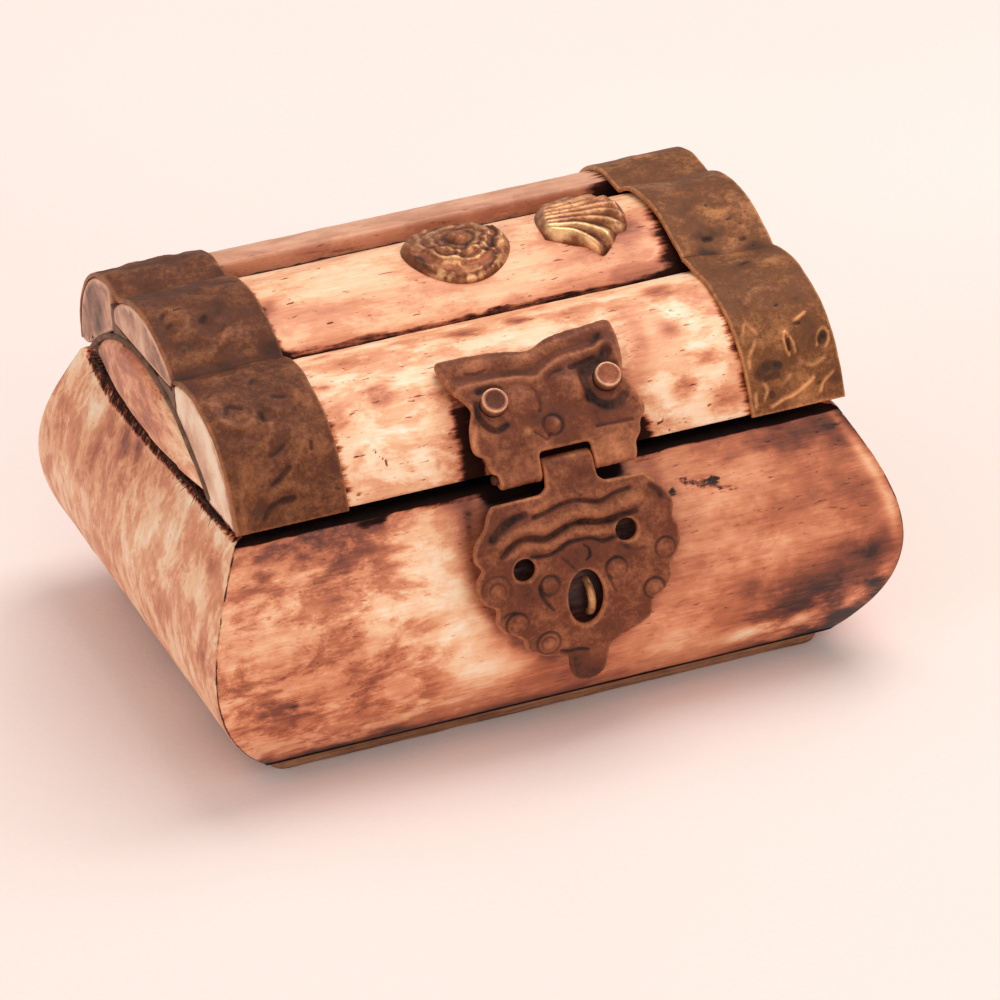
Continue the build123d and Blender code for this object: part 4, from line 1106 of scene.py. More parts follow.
def gable(side, node):
    """Half-moon bone plate on a lid end, its face gently domed."""
    outward = -1 if side == "left" else 1
    end = LID_LEFT if side == "left" else LID_RIGHT
    foot_f, foot_r = GABLE_FEET
    cy, cz, r = circle_through(foot_f, GABLE_CROWN, foot_r)
    a0 = math.atan2(foot_f[1] - cz, cy - foot_f[0])
    a1 = math.atan2(foot_r[1] - cz, cy - foot_r[0])
    bowed = round_points((cy, cz, r), np.linspace(a0, a1, 120))
    loop = soften(resample(bowed, 0.35, closed=True), 3)

    def face(points, edge):
        y, z = points.T
        sag = (y ** 2 + (z - 35.0) ** 2) / 240.0
        p = np.stack([0 * y, y, z], -1)
        out = 1.15 - sag - edge_drop(edge, 0.55) + 0.05 * fbm(p, 4, 3, 141)
        return np.stack([end + skew(y) + outward * out, y, z], -1)

    def back(points, edge):
        y, z = points.T
        return np.stack([end + skew(y) - outward * 1.3, y, z], -1)

    def attrs(points, edge):
        y, z = points.T
        p = np.stack([0 * y, y, z], -1)
        tone = 0.66 + 0.16 * fbm(p, 7, 4, 143 + outward, (1, 2.5, 1)) + blobs(y, z, (
            (-16, 32.6, 4, 1.0, 0.12), (2, 36, 5, 2, 0.06), (16, 34, 4, 2, -0.1), (-8, 33, 5, 1.2, -0.08)))
        stain_and_shade = 0.5 * step_up(0.45 - edge, 0, 0.45)
        return {"tone": tone, "mottle": 0.7 + 0 * y, "mark": 0 * y, "stain_and_shade": stain_and_shade}

    obj = plate("gable_bone_" + side, [loop], 0.45, face, back, attrs)
    finish_piece(obj, "lid", BONE_GABLE, "bone", node)
    # the bead of grey glue between the gable and the staves
    a = np.linspace(a0 + 0.02, a1 - 0.02, 130)
    wave = 0.1 * fbm(flat3(20 * a, 0 * a), 3, 3, 146 + outward)
    line = np.c_[end + outward * (wave + 0.02), round_points((cy, cz, r + 0.2), a)]
    line[:, 0] += skew(line[:, 1])
    bead = wire("gable_glue_" + side, line, 0.34, 12, {"pale": 0.75})
    finish_piece(bead, "lid", RESIN, "resin")


gable("left", "left_gable")
gable("right", "right_gable")


# =====================================================================
# lid: brass straps
# =====================================================================

def crossing(a, b):
    """The upper crossing of two circles (y, z, radius)."""
    ay, az, ar = a
    by, bz, br = b
    d = math.hypot(by - ay, bz - az)
    along = (d * d + ar * ar - br * br) / (2 * d)
    up = math.sqrt(ar * ar - along * along)
    uy, uz = (by - ay) / d, (bz - az) / d
    return ay + uy * along - uz * up, az + uz * along + uy * up


def strap_path():
    grown = [(d[0], d[1], d[2] + STRAP_LIFT + STRAP_T) for d in (FRONT_DOME, TOP_DOME, REAR_DOME)]
    first, second = crossing(grown[0], grown[1]), crossing(grown[1], grown[2])
    spans = ((grown[0], None, first), (grown[1], first, second), (grown[2], second, None))
    points = []
    for dome, start, stop in spans:
        a0 = math.asin((STAVE_FOOT_Z - dome[1]) / dome[2]) if start is None else dome_angle(dome, *start)
        a1 = math.pi - math.asin((REAR_FOOT_Z - dome[1]) / dome[2]) if stop is None else dome_angle(dome,
                                                                                                    *stop)
        points.append(round_points(dome, np.linspace(a0, a1, 200)))
    return Path(np.vstack(points), smooth=30)


STRAP_PATH = strap_path()


def strap(side, span, relief_fn, lift_fn, node):
    x0, x1 = span
    s = np.linspace(0.0, STRAP_PATH.end, int(STRAP_PATH.end / 0.21))
    edge = np.array([0.0, 0.05, 0.12, 0.22])
    t = np.r_[x0 + edge, np.linspace(x0 + 0.35, x1 - 0.35, int((x1 - x0) / 0.21)), (x1 - edge)[::-1]]
    x, ss = np.meshgrid(t, s)
    flat = flat3(x, ss)
    relief, worn, hollow = relief_fn(x, ss, flat)
    d = np.minimum(np.minimum(x - x0, x1 - x), np.minimum(ss, STRAP_PATH.end - ss))
    inset = step_up(d, 0.0, 1.2)
    lift = lift_fn(x, ss)
    wobble = 0.05 * fbm(flat, 1.5, 3, 151)
    face = relief * inset - edge_drop(d, 0.2) + lift + 0.3 * wobble
    y, z = STRAP_PATH.at(ss, face)
    yi, zi = STRAP_PATH.at(ss, lift - STRAP_T)
    ragged = 0.07 * fbm(flat3(0 * ss, ss), 2.2, 3, 152)
    xx = x + ragged
    outer = np.stack([xx + skew(y), y, z], -1)
    inner = np.stack([xx + skew(yi), yi, zi], -1)
    rim = step_up(0.35 - d, 0.0, 0.3)
    attrs = {"worn": np.clip(worn + 0.55 * rim, 0, 1), "hollow": np.clip(hollow, 0, 1)}
    obj = slab("strap_brass_" + side, outer, inner, attrs)
    return finish_piece(obj, "lid", STRAP if side == "left" else STRAP_RIGHT, "strap_brass", node)


def groove(x, v, points, width, depth, layers, dark=0.8):
    """Presses a smooth line into a relief; layers is (height, worn, hollow)."""
    d = near_line(x, v, curve_through(points, 24))
    layers[0] -= depth * bell(d, width)
    layers[2] += dark * bell(d, width * 0.9)


def ridge(x, v, points, width, height, layers, worn=0.4):
    d = near_line(x, v, curve_through(points, 24))
    layers[0] += height * bell(d, width)
    layers[1] += worn * bell(d, width * 0.7)


def emboss(x, v, layers, strokes):
    """Works strokes into a relief: rows of (ridge or groove, line, width, height, shade)."""
    for work, line, width, height, shade in strokes:
        work(x, v, line, width, height, layers, shade)


def fresh_layers(flat, size, amount, seed):
    """The layers (height, worn, hollow) of a relief before its ornament."""
    wave = fbm(flat, size, 4, seed)
    return [amount * wave, np.clip(0.3 * wave, 0, 1), np.clip(-0.45 * wave, 0, 1)]


# strokes on the straps: (line, width, height or depth)
LEFT_RIDGES = (
    (((-27.9, 5.6), (-26.8, 6.8), (-25.4, 8.6)), 0.4, 0.26),
    (((-33.8, 0.8), (-33.9, 3.0), (-33.5, 4.8)), 0.5, 0.2),
    (((-25.6, 1.6), (-25.4, 3.0), (-25.7, 4.8)), 0.5, 0.2),
    (((-30.6, 3.3), (-29.4, 4.1), (-27.6, 4.2), (-26.4, 3.2)), 0.5, 0.22),
    (((-30.0, 9.2), (-28.6, 10.0), (-28.3, 11.4)), 0.4, 0.2),
    (((-33.6, 13.2), (-32.2, 11.8), (-30.4, 11.7), (-29.4, 13.4)), 0.5, 0.26),
    (((-33.7, 15.4), (-32.6, 16.6), (-30.8, 16.6)), 0.5, 0.24),
    (((-27.8, 13.6), (-26.2, 12.6), (-24.6, 13.4), (-24.2, 15.4), (-25.8, 16.8)), 0.5, 0.24),
    (((-30.2, 26.2), (-28.4, 27.5), (-27.2, 29.2)), 0.45, 0.2),
    (((-32.6, 29.6), (-31.0, 31.2), (-30.8, 33.2), (-32.2, 34.6)), 0.6, 0.2),
    (((-27.4, 31.0), (-26.0, 32.6), (-26.4, 34.6), (-28.4, 35.6)), 0.6, 0.2),
    (((-33.0, 47.0), (-31.0, 48.8), (-28.6, 48.4)), 0.6, 0.2),
    (((-26.6, 52.0), (-28.4, 53.4), (-30.8, 52.6)), 0.6, 0.2),
    (((-31.8, 57.4), (-29.0, 58.6), (-26.4, 57.6)), 0.6, 0.2))
LEFT_GROOVES = (
    (((-31.6, 1.2), (-30.6, 2.4), (-29.2, 2.9), (-27.9, 2.9)), 0.24, 0.2),
    (((-29.0, 2.7), (-28.2, 2.8)), 0.42, 0.24),
    (((-30.0, 4.7), (-29.0, 5.3), (-27.8, 6.2)), 0.32, 0.26),
    (((-29.4, 7.8), (-28.6, 8.1), (-27.7, 8.7)), 0.34, 0.26),
    (((-28.9, 12.0), (-28.8, 13.0)), 0.26, 0.22),
    (((-24.9, 7.6), (-24.7, 8.4)), 0.24, 0.2),
    (((-23.2, 2.9), (-22.8, 2.7)), 0.2, 0.16),
    (((-29.2, 31.5), (-28.8, 32.1)), 0.36, 0.24),
    (((-33.2, 33.2), (-32.8, 33.8)), 0.34, 0.2),
    (((-33.0, 31.6), (-32.6, 31.9)), 0.3, 0.18),
    (((-31.4, 34.0), (-30.8, 34.1)), 0.24, 0.16),
    (((-28.2, 18.0), (-27.8, 18.6)), 0.3, 0.14),
    (((-30.6, 14.2), (-31.8, 14.9), (-32.4, 13.9)), 0.34, 0.16),
    (((-25.6, 14.6), (-26.6, 15.0)), 0.3, 0.14))


def left_relief(x, s, flat):
    """Worn flowers and leaves on the left strap."""
    layers = fresh_layers(flat, 2.6, 0.16, 161)
    layers[0] += 0.05 * fbm(flat, 0.9, 3, 162)
    for line, width, height in LEFT_RIDGES:
        ridge(x, s, line, width * 1.25, height * 0.8, layers, 0.16)
    for line, width, depth in LEFT_GROOVES:
        groove(x, s, line, width, depth, layers, 0.75)
    layers[2] += 0.4 * bell(s - 24.4, 1.4)
    layers[1] += 0.06 * step_up(10 - s, 0, 5)
    return layers


# these have a fourth value, how rubbed the ridge is; on the crumpled ridges near the foot the high values
# are also painted highlight
RIGHT_RIDGES = (
    (((27.2, 0.9), (28.6, 1.4), (30.2, 1.8), (32.4, 3.0)), 0.3, 0.3, 0.9),
    (((25.4, 1.2), (25.5, 2.6)), 0.24, 0.2, 0.8),
    (((25.4, 5.6), (25.7, 6.8), (26.6, 7.9)), 0.3, 0.22, 0.6),
    (((26.4, 1.8), (26.9, 2.8), (26.6, 3.8)), 0.24, 0.18, 0.6),
    (((33.0, 1.4), (33.6, 2.4), (34.8, 3.2)), 0.26, 0.22, 0.7),
    (((30.2, 6.0), (30.0, 7.4), (30.4, 8.6), (30.9, 7.6), (31.0, 6.2)), 0.2, 0.26, 0.9),
    (((33.6, 6.4), (34.0, 7.6), (35.0, 8.1), (35.2, 7.0), (34.6, 6.1)), 0.26, 0.24, 0.6),
    (((31.9, 9.6), (33.4, 10.3)), 0.26, 0.22, 0.9),
    (((25.6, 9.2), (26.4, 10.4), (27.2, 9.2)), 0.3, 0.16, 0.4),
    (((31.4, 5.0), (32.6, 4.4), (34.2, 4.9)), 0.3, 0.18, 0.4),
    (((28.6, 2.9), (29.8, 3.8)), 0.3, 0.18, 0.3),
    (((27.6, 13.2), (29.6, 14.6), (32.0, 14.0), (33.6, 15.6)), 0.7, 0.14, 0.1),
    (((29.0, 21.0), (31.2, 21.4)), 0.4, 0.16, 0.15),
    (((27.0, 30.2), (29.6, 31.6), (32.6, 30.8), (34.0, 32.6)), 0.8, 0.14, 0.08),
    (((27.4, 49.0), (30.0, 50.4), (33.0, 49.4)), 0.7, 0.16, 0.1),
    (((28.0, 56.4), (30.6, 55.0), (33.2, 56.8)), 0.7, 0.16, 0.1))
RIGHT_GROOVES = (
    (((30.4, 6.6), (30.6, 7.8)), 0.22, 0.22),
    (((34.2, 6.8), (34.8, 7.4)), 0.4, 0.22),
    (((26.4, 4.6), (27.4, 5.4), (28.8, 5.2)), 0.5, 0.16),
    (((26.8, 4.0), (28.4, 4.2)), 0.3, 0.14),
    (((29.8, 20.0), (30.9, 20.5)), 0.2, 0.14),
    (((28.5, 27.05), (29.1, 27.1)), 0.32, 0.3),
    (((32.6, 26.2), (32.9, 26.2)), 0.26, 0.2),
    (((30.7, 32.0), (30.7, 32.2)), 0.2, 0.16),
    (((32.0, 29.3), (32.6, 29.4)), 0.14, 0.1),
    (((30.6, 12.0), (30.8, 12.0)), 0.15, 0.1),
    (((31.8, 9.4), (32.4, 9.3)), 0.2, 0.14))


def right_relief(x, s, flat):
    """The same ornament on the right strap, rubbed bright near its foot, where the crumpled ridges also get
    painted highlight.
    """
    layers = fresh_layers(flat, 2.8, 0.06, 171)
    for line, width, height, worn in RIGHT_RIDGES:
        ridge(x, s, line, width, height, layers, worn)
    for line, width, depth in RIGHT_GROOVES:
        groove(x, s, line, width, depth, layers, 0.85)
    soil = np.clip(fbm(flat, 2.2, 4, 173), 0, 1)
    layers[2] += 0.35 * bell(s - 24.6, 1.0) + 0.3 * step_up(11 - s, 0, 5) * soil
    layers[1] += 0.04 * step_up(9 - s, 0, 4)
    return layers


def no_lift(x, s):
    """The left strap lies close all over."""
    return 0.0 * x


def right_lift(x, s):
    """The right strap has sprung away from the staves along its inner edge."""
    loose = step_up(RIGHT_STRAP[0] + 6.0 - x, 0, 6.0)
    return 0.45 * loose * step_up(s, 20, 27) * step_up(46 - s, 0,
                                                       6) + (0.35 + 0.55 * loose) * bell(s - 24.5, 2.2)


strap("left", LEFT_STRAP, left_relief, no_lift, "left_strap")
strap("right", RIGHT_STRAP, right_relief, right_lift, "right_strap")


# =====================================================================
# hasp
# =====================================================================

def plate_path(curve, z_low, z_high, wrap):
    """The outer face of a hasp plate, upwards, with its roll round the pin.
    wrap is "foot" for the upper plate's tabs and "head" for the lower plate's tongue."""
    a0 = math.asin((z_low - curve[1]) / curve[2])
    a1 = math.asin(min(1.0, (z_high - curve[1]) / curve[2]))
    run = round_points(curve, np.linspace(a0, a1, 160))
    knuckle = (*HASP_PIN, KNUCKLE_R)
    if wrap == "foot":
        return np.vstack([arc(knuckle, -250, -4), run])
    return np.vstack([run, arc(knuckle, 27, 250)])


def path_of(points, origin_z):
    """A path whose length is 0 where its plate part passes the height origin_z."""
    path = Path(points, smooth=12)
    front = path.p[:, 0] < HASP_PIN[0] - 0.9
    s0 = float(np.interp(origin_z, path.p[front, 1], path.s[front]))
    path.s = path.s - s0
    path.end = path.s[-1]
    return path


# heights at which the length along each plate is 0
UPPER_ORIGIN_Z = 33.0
LOWER_ORIGIN_Z = 16.26
UPPER_PATH = path_of(plate_path(UPPER_CURVE, 32.4, 43.6, "foot"), UPPER_ORIGIN_Z)
LOWER_PATH = path_of(plate_path(LOWER_CURVE, 6.5, 30.9, "head"), LOWER_ORIGIN_Z)


def lower_s(z):
    return math.asin((z - LOWER_CURVE[1]) / LOWER_CURVE[2]) * LOWER_CURVE[2]


def hasp_plate(name, path, loops, relief_fn):
    """A rolled and stamped plate; its loops are in x and the length along the path."""
    def outer(points, edge):
        x, s = points.T
        h, _, _ = relief_fn(x, s, flat3(x, s))
        y, z = path.at(s, h * step_up(edge, 0, 0.8) - edge_drop(edge, 0.22))
        return np.stack([x, y, z], -1)

    def inner(points, edge):
        x, s = points.T
        y, z = path.at(s, -PLATE_T)
        return np.stack([x, y, z], -1)

    def attrs(points, edge):
        x, s = points.T
        h, worn, hollow = relief_fn(x, s, flat3(x, s))
        rim = step_up(0.45 - edge, 0, 0.4)
        return {"worn": np.clip(worn + 0.5 * rim, 0, 1), "hollow": np.clip(hollow, 0, 1)}

    return plate(name, loops, 0.21, outer, inner, attrs)


LOWER_SHAPE = ((-7.4, 29.8), (-8.1, 28.9), (-8.7, 27.6), (-9.8, 26.5), (-10.3, 25.4), (-10.3, 24.3),
               (-9.6, 23.3), (-10.2, 22.6), (-10.5, 21.6), (-10.4, 20.4), (-9.8, 19.5), (-8.9, 18.9),
               (-8.5, 18.4), (-8.7, 17.4), (-8.6, 16.6), (-8.0, 15.7), (-6.9, 15.1), (-5.8, 14.2),
               (-5.6, 13.1), (-5.1, 12.5), (-4.2, 12.0), (-2.9, 11.4), (-1.6, 11.2), (-0.6, 10.6),
               (-0.45, 9.4), (-0.2, 8.3), (0.4, 7.5), (1.4, 7.1), (2.6, 7.2), (3.5, 7.9), (4.0, 9.5),
               (4.2, 11.0), (5.1, 11.7), (7.0, 12.5), (8.9, 13.5), (9.3, 14.6), (9.4, 15.6), (10.4, 16.2),
               (11.3, 17.1), (11.8, 18.3), (11.9, 19.5), (12.6, 20.4), (13.1, 21.6), (13.2, 22.7),
               (13.1, 23.6), (12.6, 24.6), (12.9, 25.7), (12.8, 26.7), (12.2, 27.7), (11.2, 28.8),
               (10.1, 29.8))


def lower_loops():
    body = np.array([(x, lower_s(z)) for x, z in LOWER_SHAPE])
    body = curve_through(body, 320)
    shoulder = lower_s(29.8)
    head = LOWER_PATH.end - 0.1
    top = [(10.1, shoulder), (5.7, shoulder + 0.1), (5.0, shoulder + 0.7), (4.9, shoulder + 1.8),
           (4.85, head),
           (-0.8, head), (-0.85, shoulder + 1.8), (-0.95, shoulder + 0.7), (-1.7, shoulder + 0.1),
           (-7.4, shoulder)]
    loop = resample(np.vstack([body, np.array(top)[1:-1]]), 0.28, closed=True)
    loop = soften(loop, 1)
    holes = [ellipse(-4.9, lower_s(22.4), 1.28, 1.3, 36), ellipse(7.2, lower_s(24.3), 1.28, 1.3, 36),
             ellipse(1.75, lower_s(17.7), 2.1, 3.3, 64)]
    return [loop, *holes]


def lower_relief(x, s, flat):
    z = LOWER_CURVE[1] + LOWER_CURVE[2] * np.sin(s / LOWER_CURVE[2])
    layers = fresh_layers(flat, 3.0, 0.07, 181)
    emboss(x, z, layers, (
        (ridge, ((-7.6, 27.2), (-5.2, 28.9), (-2.6, 28.6), (1.2, 29.3), (5.0, 28.6), (8.6, 29.1)), 0.6, 0.2,
         0.2),
        (ridge, ((-7.4, 25.8), (-4.2, 26.8), (-1.8, 26.4), (1.5, 27.3), (4.8, 26.8), (7.6, 27.3),
                 (9.4, 27.4)), 0.75, 0.34, 0.35),
        (ridge, ((-6.6, 24.3), (-4.0, 24.9), (-1.9, 24.5), (1.4, 25.3), (4.2, 24.7), (6.0, 24.9)), 0.62,
         0.32, 0.35),
        (groove, ((-8.0, 26.4), (-6.9, 27.4), (-5.3, 28.0), (-4.0, 28.3)), 0.5, 0.36, 0.8),
        (groove, ((-3.0, 27.8), (-1.6, 28.0), (0.4, 28.5), (2.4, 28.5), (4.6, 27.9), (6.4, 28.4),
                  (8.2, 28.6)), 0.3, 0.3, 0.75),
        (groove, ((-7.3, 24.4), (-5.8, 25.5), (-4.0, 25.8), (-2.1, 25.3), (0.4, 26.1), (2.4, 26.2),
                  (4.6, 25.7), (8.6, 26.0)), 0.3, 0.34, 0.75),
        (groove, ((2.2, 26.3), (5.4, 25.9), (8.6, 26.4), (9.6, 27.0)), 0.4, 0.2, 0.35),
        (groove, ((-4.0, 23.7), (-1.8, 23.5), (0.2, 24.3), (1.4, 24.4), (3.0, 24.3), (4.4, 23.7),
                  (6.0, 23.9)), 0.26, 0.3, 0.8),
        (groove, ((10.6, 28.4), (11.3, 27.8), (11.6, 27.0)), 0.45, 0.16, 0.5),
        (groove, ((6.4, 23.0), (7.6, 22.0), (8.9, 21.9)), 0.4, 0.14, 0.4)))
    rings = ((-8.4, 20.8, 1.7, 0.45), (-8.3, 20.8, 0.9, 0.5), (-6.4, 16.4, 1.3, 0.85),
             (-2.95, 13.25, 1.35, 0.85), (-2.95, 13.2, 0.8, 0.6), (-2.3, 20.1, 1.1, 0.75),
             (5.5, 20.35, 1.2, 0.8), (11.3, 21.4, 1.15, 0.75), (9.6, 17.0, 1.2, 0.9),
             (6.6, 13.6, 1.4, 0.35))
    for cx, cz, r, strength in rings:
        d = np.hypot(x - cx, z - cz)
        side = 0.72 + 0.28 * np.cos(np.arctan2(z - cz, x - cx) - 1.9)
        layers[0] += strength * (-0.24 * bell(d - r, 0.24) * side + 0.12 * bell(d, r * 0.7))
        layers[1] += 0.25 * strength * bell(d, r * 0.6)
        layers[2] += strength * 0.95 * bell(d - r, 0.2) * side
    emboss(x, z, layers, (
        (groove, ((-3.4, 20.0), (-3.3, 19.0), (-2.7, 17.9), (-2.1, 17.1)), 0.24, 0.2, 0.6),
        (groove, ((4.5, 19.6), (4.8, 18.6), (5.2, 17.6)), 0.2, 0.16, 0.55),
        (groove, ((2.1, 23.8), (2.6, 23.2), (2.6, 22.4), (2.2, 22.0)), 0.18, 0.16, 0.6),
        (groove, ((-0.6, 22.9), (0.2, 22.0), (0.9, 21.1)), 0.2, 0.1, 0.3),
        (groove, ((-1.5, 11.9), (-0.6, 11.6), (0.4, 11.6), (1.5, 11.3)), 0.2, 0.26, 0.95),
        (groove, ((-7.9, 17.6), (-7.4, 17.9), (-6.6, 17.9)), 0.2, 0.12, 0.6),
        (ridge, ((1.0, 21.4), (0.2, 21.0), (-0.4, 19.8), (-0.6, 17.7), (-0.2, 15.6), (0.9, 14.3),
                 (2.2, 14.0)), 0.3, 0.08, 0.12)))
    layers[2] += 0.3 * step_up(13.0 - z, 0, 4)
    return layers


SEAT = 1.3   # the upper plate's relief is laid out from a line this far below z 33


def upper_loops():
    side = ((-5.9, 1.5), (-6.5, 1.8), (-6.8, 2.5), (-6.9, 3.6), (-7.5, 3.95), (-8.0, 4.6), (-8.05, 5.6),
            (-7.75, 7.2), (-7.25, 8.4), (-6.95, 9.2), (-7.2, 10.0), (-7.8, 11.0), (-8.4, 12.0),
            (-8.75, 13.6), (-9.0, 15.2), (-8.85, 16.0), (-8.3, 16.15), (-5.5, 16.1), (-3.0, 15.95),
            (-1.0, 15.6), (0.5, 15.2), (1.3, 15.05), (2.1, 15.2), (3.1, 15.75), (4.2, 16.25), (6.0, 16.6),
            (8.5, 16.8), (10.8, 17.05), (11.6, 16.9), (11.75, 16.2), (11.7, 14.4), (11.5, 12.8),
            (11.25, 11.4), (10.85, 10.0), (10.8, 9.2), (11.2, 8.2), (11.65, 7.0), (12.0, 5.6),
            (11.85, 4.8), (11.3, 4.2), (11.0, 3.7), (10.85, 2.8), (10.1, 1.9))
    body = curve_through(np.array(side) - (0, SEAT), 260)
    low = UPPER_PATH.s[0] + 0.1
    notch = 3.05 - SEAT
    foot = [(9.95, 0.3 - SEAT), (9.85, low), (5.15, low), (5.1, 0.6 - SEAT), (5.05, notch - 0.2),
            (4.85, notch),
            (-0.6, notch), (-0.95, notch - 0.2), (-1.0, 0.6 - SEAT), (-1.05, low), (-5.7, low),
            (-5.8, 0.3 - SEAT)]
    loop = resample(np.vstack([body, foot]), 0.28, closed=True)
    return [soften(loop, 1)]


# the hollows round the rivets, dark partly with patina and partly with painted shadow round the rivets'
# feet: (line, width, depth)
RIVET_HOLLOWS = (
    (((6.3, 8.0), (6.3, 10.2), (7.2, 11.4), (9.0, 11.7), (9.9, 12.7)), 0.6, 0.42),
    (((5.3, 11.55), (6.6, 11.8), (8.2, 12.2)), 0.26, 0.2),
    (((6.5, 7.6), (7.5, 6.7), (9.0, 6.4), (10.1, 7.1)), 0.6, 0.3),
    (((7.4, 10.6), (8.6, 10.9), (9.8, 10.8)), 0.7, 0.3),
    (((-6.2, 9.7), (-6.4, 8.4), (-5.9, 7.1), (-4.9, 6.3), (-3.6, 6.7)), 0.42, 0.2),
    (((-5.6, 11.0), (-4.2, 11.2), (-3.2, 10.9)), 0.4, 0.12))


def upper_relief(x, s, flat):
    v = s + SEAT
    layers = fresh_layers(flat, 2.6, 0.06, 191)
    layers[1] += 0.4 * step_up(4.2 - v, 0, 3.5)
    emboss(x, v, layers, (
        (ridge, ((-8.2, 15.0), (-5.0, 14.9), (-1.0, 14.5), (1.2, 13.8), (3.0, 14.6), (6.0, 15.4),
                 (10.4, 15.9)), 0.8, 0.2, 0.05),
        (groove, ((-7.2, 13.3), (-4.0, 12.9), (-1.0, 12.6), (1.1, 12.3), (3.0, 13.3), (5.0, 13.95),
                  (7.6, 14.1), (9.4, 14.8)), 0.62, 0.34, 0.42),
        (groove, ((-6.2, 13.75), (-5.0, 13.5), (-3.8, 13.65)), 0.16, 0.08, 0.5),
        (groove, ((8.9, 14.2), (9.9, 15.1)), 0.16, 0.1, 0.6),
        (ridge, ((-7.6, 11.8), (-4.0, 11.9), (-1.0, 11.7), (1.2, 11.1), (2.4, 11.9), (4.2, 12.7),
                 (6.5, 13.0), (8.6, 13.2), (10.0, 13.9)), 0.6, 0.26, 0.3),
        (ridge, ((10.7, 13.6), (10.7, 11.5), (10.5, 9.0)), 0.4, 0.16, 0.2)))
    for line, width, depth in RIVET_HOLLOWS:
        groove(x, v, line, width, depth, layers, 0.95)
    # the large and the small rounded bosses, and the fold between them
    boss = np.hypot((x - 4.3) / 1.05, v - 9.1)
    layers[0] += 0.42 * (1 - step_up(boss, 1.0, 2.3))
    layers[1] += 0.15 * bell(boss - 1.3, 0.6)
    groove(x, v, ((2.2, 9.6), (2.4, 10.6), (3.0, 11.3), (4.2, 11.6)), 0.24, 0.16, layers, 0.45)
    second = np.hypot((x + 1.2) / 1.2, v - 8.8)
    layers[0] += 0.3 * (1 - step_up(second, 0.9, 2.1))
    groove(x, v, ((0.3, 10.2), (0.75, 9.3), (0.7, 8.2), (0.4, 7.4)), 0.24, 0.2, layers, 0.5)
    layers[1] += 0.4 * bell(np.hypot(x - 0.1, v - 7.8), 0.6) + 0.5 * bell(np.hypot(x + 1.5, v - 5.5), 0.35)
    small = np.hypot(x - 1.4, v - 5.6)
    layers[0] += 0.3 * (1 - step_up(small, 0.4, 1.1)) - 0.16 * bell(small - 1.15, 0.22)
    layers[2] += 0.5 * bell(small - 1.1, 0.2)
    layers[1] += 0.5 * bell(np.hypot(x - 1.9, v - 5.8), 0.35)
    emboss(x, v, layers, (
        (groove, ((-0.8, 5.2), (-0.2, 4.7), (0.3, 4.2), (0.9, 4.7)), 0.18, 0.12, 0.5),
        (groove, ((-5.2, 4.25), (-3.8, 4.1), (-2.4, 4.2)), 0.3, 0.1, 0.3),
        (groove, ((6.1, 4.35), (8.0, 4.3), (10.3, 4.25)), 0.2, 0.14, 0.6)))
    layers[2] += 0.35 * step_up(x, 5.6, 6.6) * step_up(10.8 - x, 0, 0.7) * step_up(v, 4.2,
                                                                                   4.6) * step_up(6.8 - v,
                                                                                                  0, 1)
    emboss(x, v, layers, (
        (ridge, ((-7.6, 4.4), (-7.7, 5.6), (-7.2, 7.0)), 0.4, 0.12, 0.5),
        (ridge, ((11.3, 4.6), (11.6, 5.8), (11.1, 7.4)), 0.4, 0.12, 0.2)))
    layers[0] -= 0.1 * bell(np.hypot(x - 10.5, v - 6.2), 0.5)
    return layers


lower_piece = hasp_plate("hasp_plate_lower", LOWER_PATH, lower_loops(), lower_relief)
finish_piece(lower_piece, "hasp", HASP, "hasp_brass", "hasp_lower_plate")
upper_piece = hasp_plate("hasp_plate_upper", UPPER_PATH, upper_loops(), upper_relief)
finish_piece(upper_piece, "lid", HASP, "hasp_brass", "hasp_upper_plate")


RIVET_CENTRES = ((-4.55, -27.1, 38.87), (8.6, -27.05, 38.95))
RIVET_PROFILE = ((0.7, -3.0), (0.7, -0.2), (1.5, -0.15), (1.46, 0.1), (1.42, 0.8), (1.46, 1.35),
                 (1.44, 1.52), (1.36, 1.64), (1.2, 1.7), (1.0, 1.66), (0.7, 1.6), (0.35, 1.57),
                 (0.05, 1.56))


def rivets():
    """Both rivets, turned, each square to the upper plate; the right one is rubbed brighter."""
    rings, faces, worn = [], [], []
    total = 0
    for x, y, z in RIVET_CENTRES:
        out = np.array([0, y - UPPER_CURVE[0], z - UPPER_CURVE[1]])
        out /= np.linalg.norm(out)
        foot = np.array([x, UPPER_CURVE[0], UPPER_CURVE[1]]) + out * (UPPER_CURVE[2] - 0.1)
        turned = lathe(RIVET_PROFILE, foot, out)
        n, m = turned.shape[:2]
        index = total + np.arange(n * m).reshape(n, m)
        faces += [tuple(q) for q in ring_quads(index)]
        faces += [tuple(index[0]), tuple(index[-1])]
        rim = np.array([bell(r - 1.36, 0.12) * (h > 1.2) for r, h in RIVET_PROFILE])
        worn.append(np.repeat(rim, m))
        rings.append(turned.reshape(-1, 3))
        total += n * m
    points = np.vstack(rings)
    points = points + 0.02 * np.stack([fbm(points, 1.0, 2, k) for k in (1, 2, 3)], -1)
    # the underside of each head is darkened: painted shade where the head meets the plate
    foot = np.repeat([1.0 * (h < 0.5) for r, h in RIVET_PROFILE], m)
    top = np.repeat([0.5 * (h > 1.5 and r < 1.1) for r, h in RIVET_PROFILE], m)
    obj = make_mesh("rivet_pair", points, faces, {"worn": np.r_[worn[0], 1.2 * worn[1]],
                                                  "hollow": np.r_[foot + top, foot]}, 45)
    return finish_piece(obj, "lid", COPPER, "copper_pins", "hasp_rivets")


rivets()


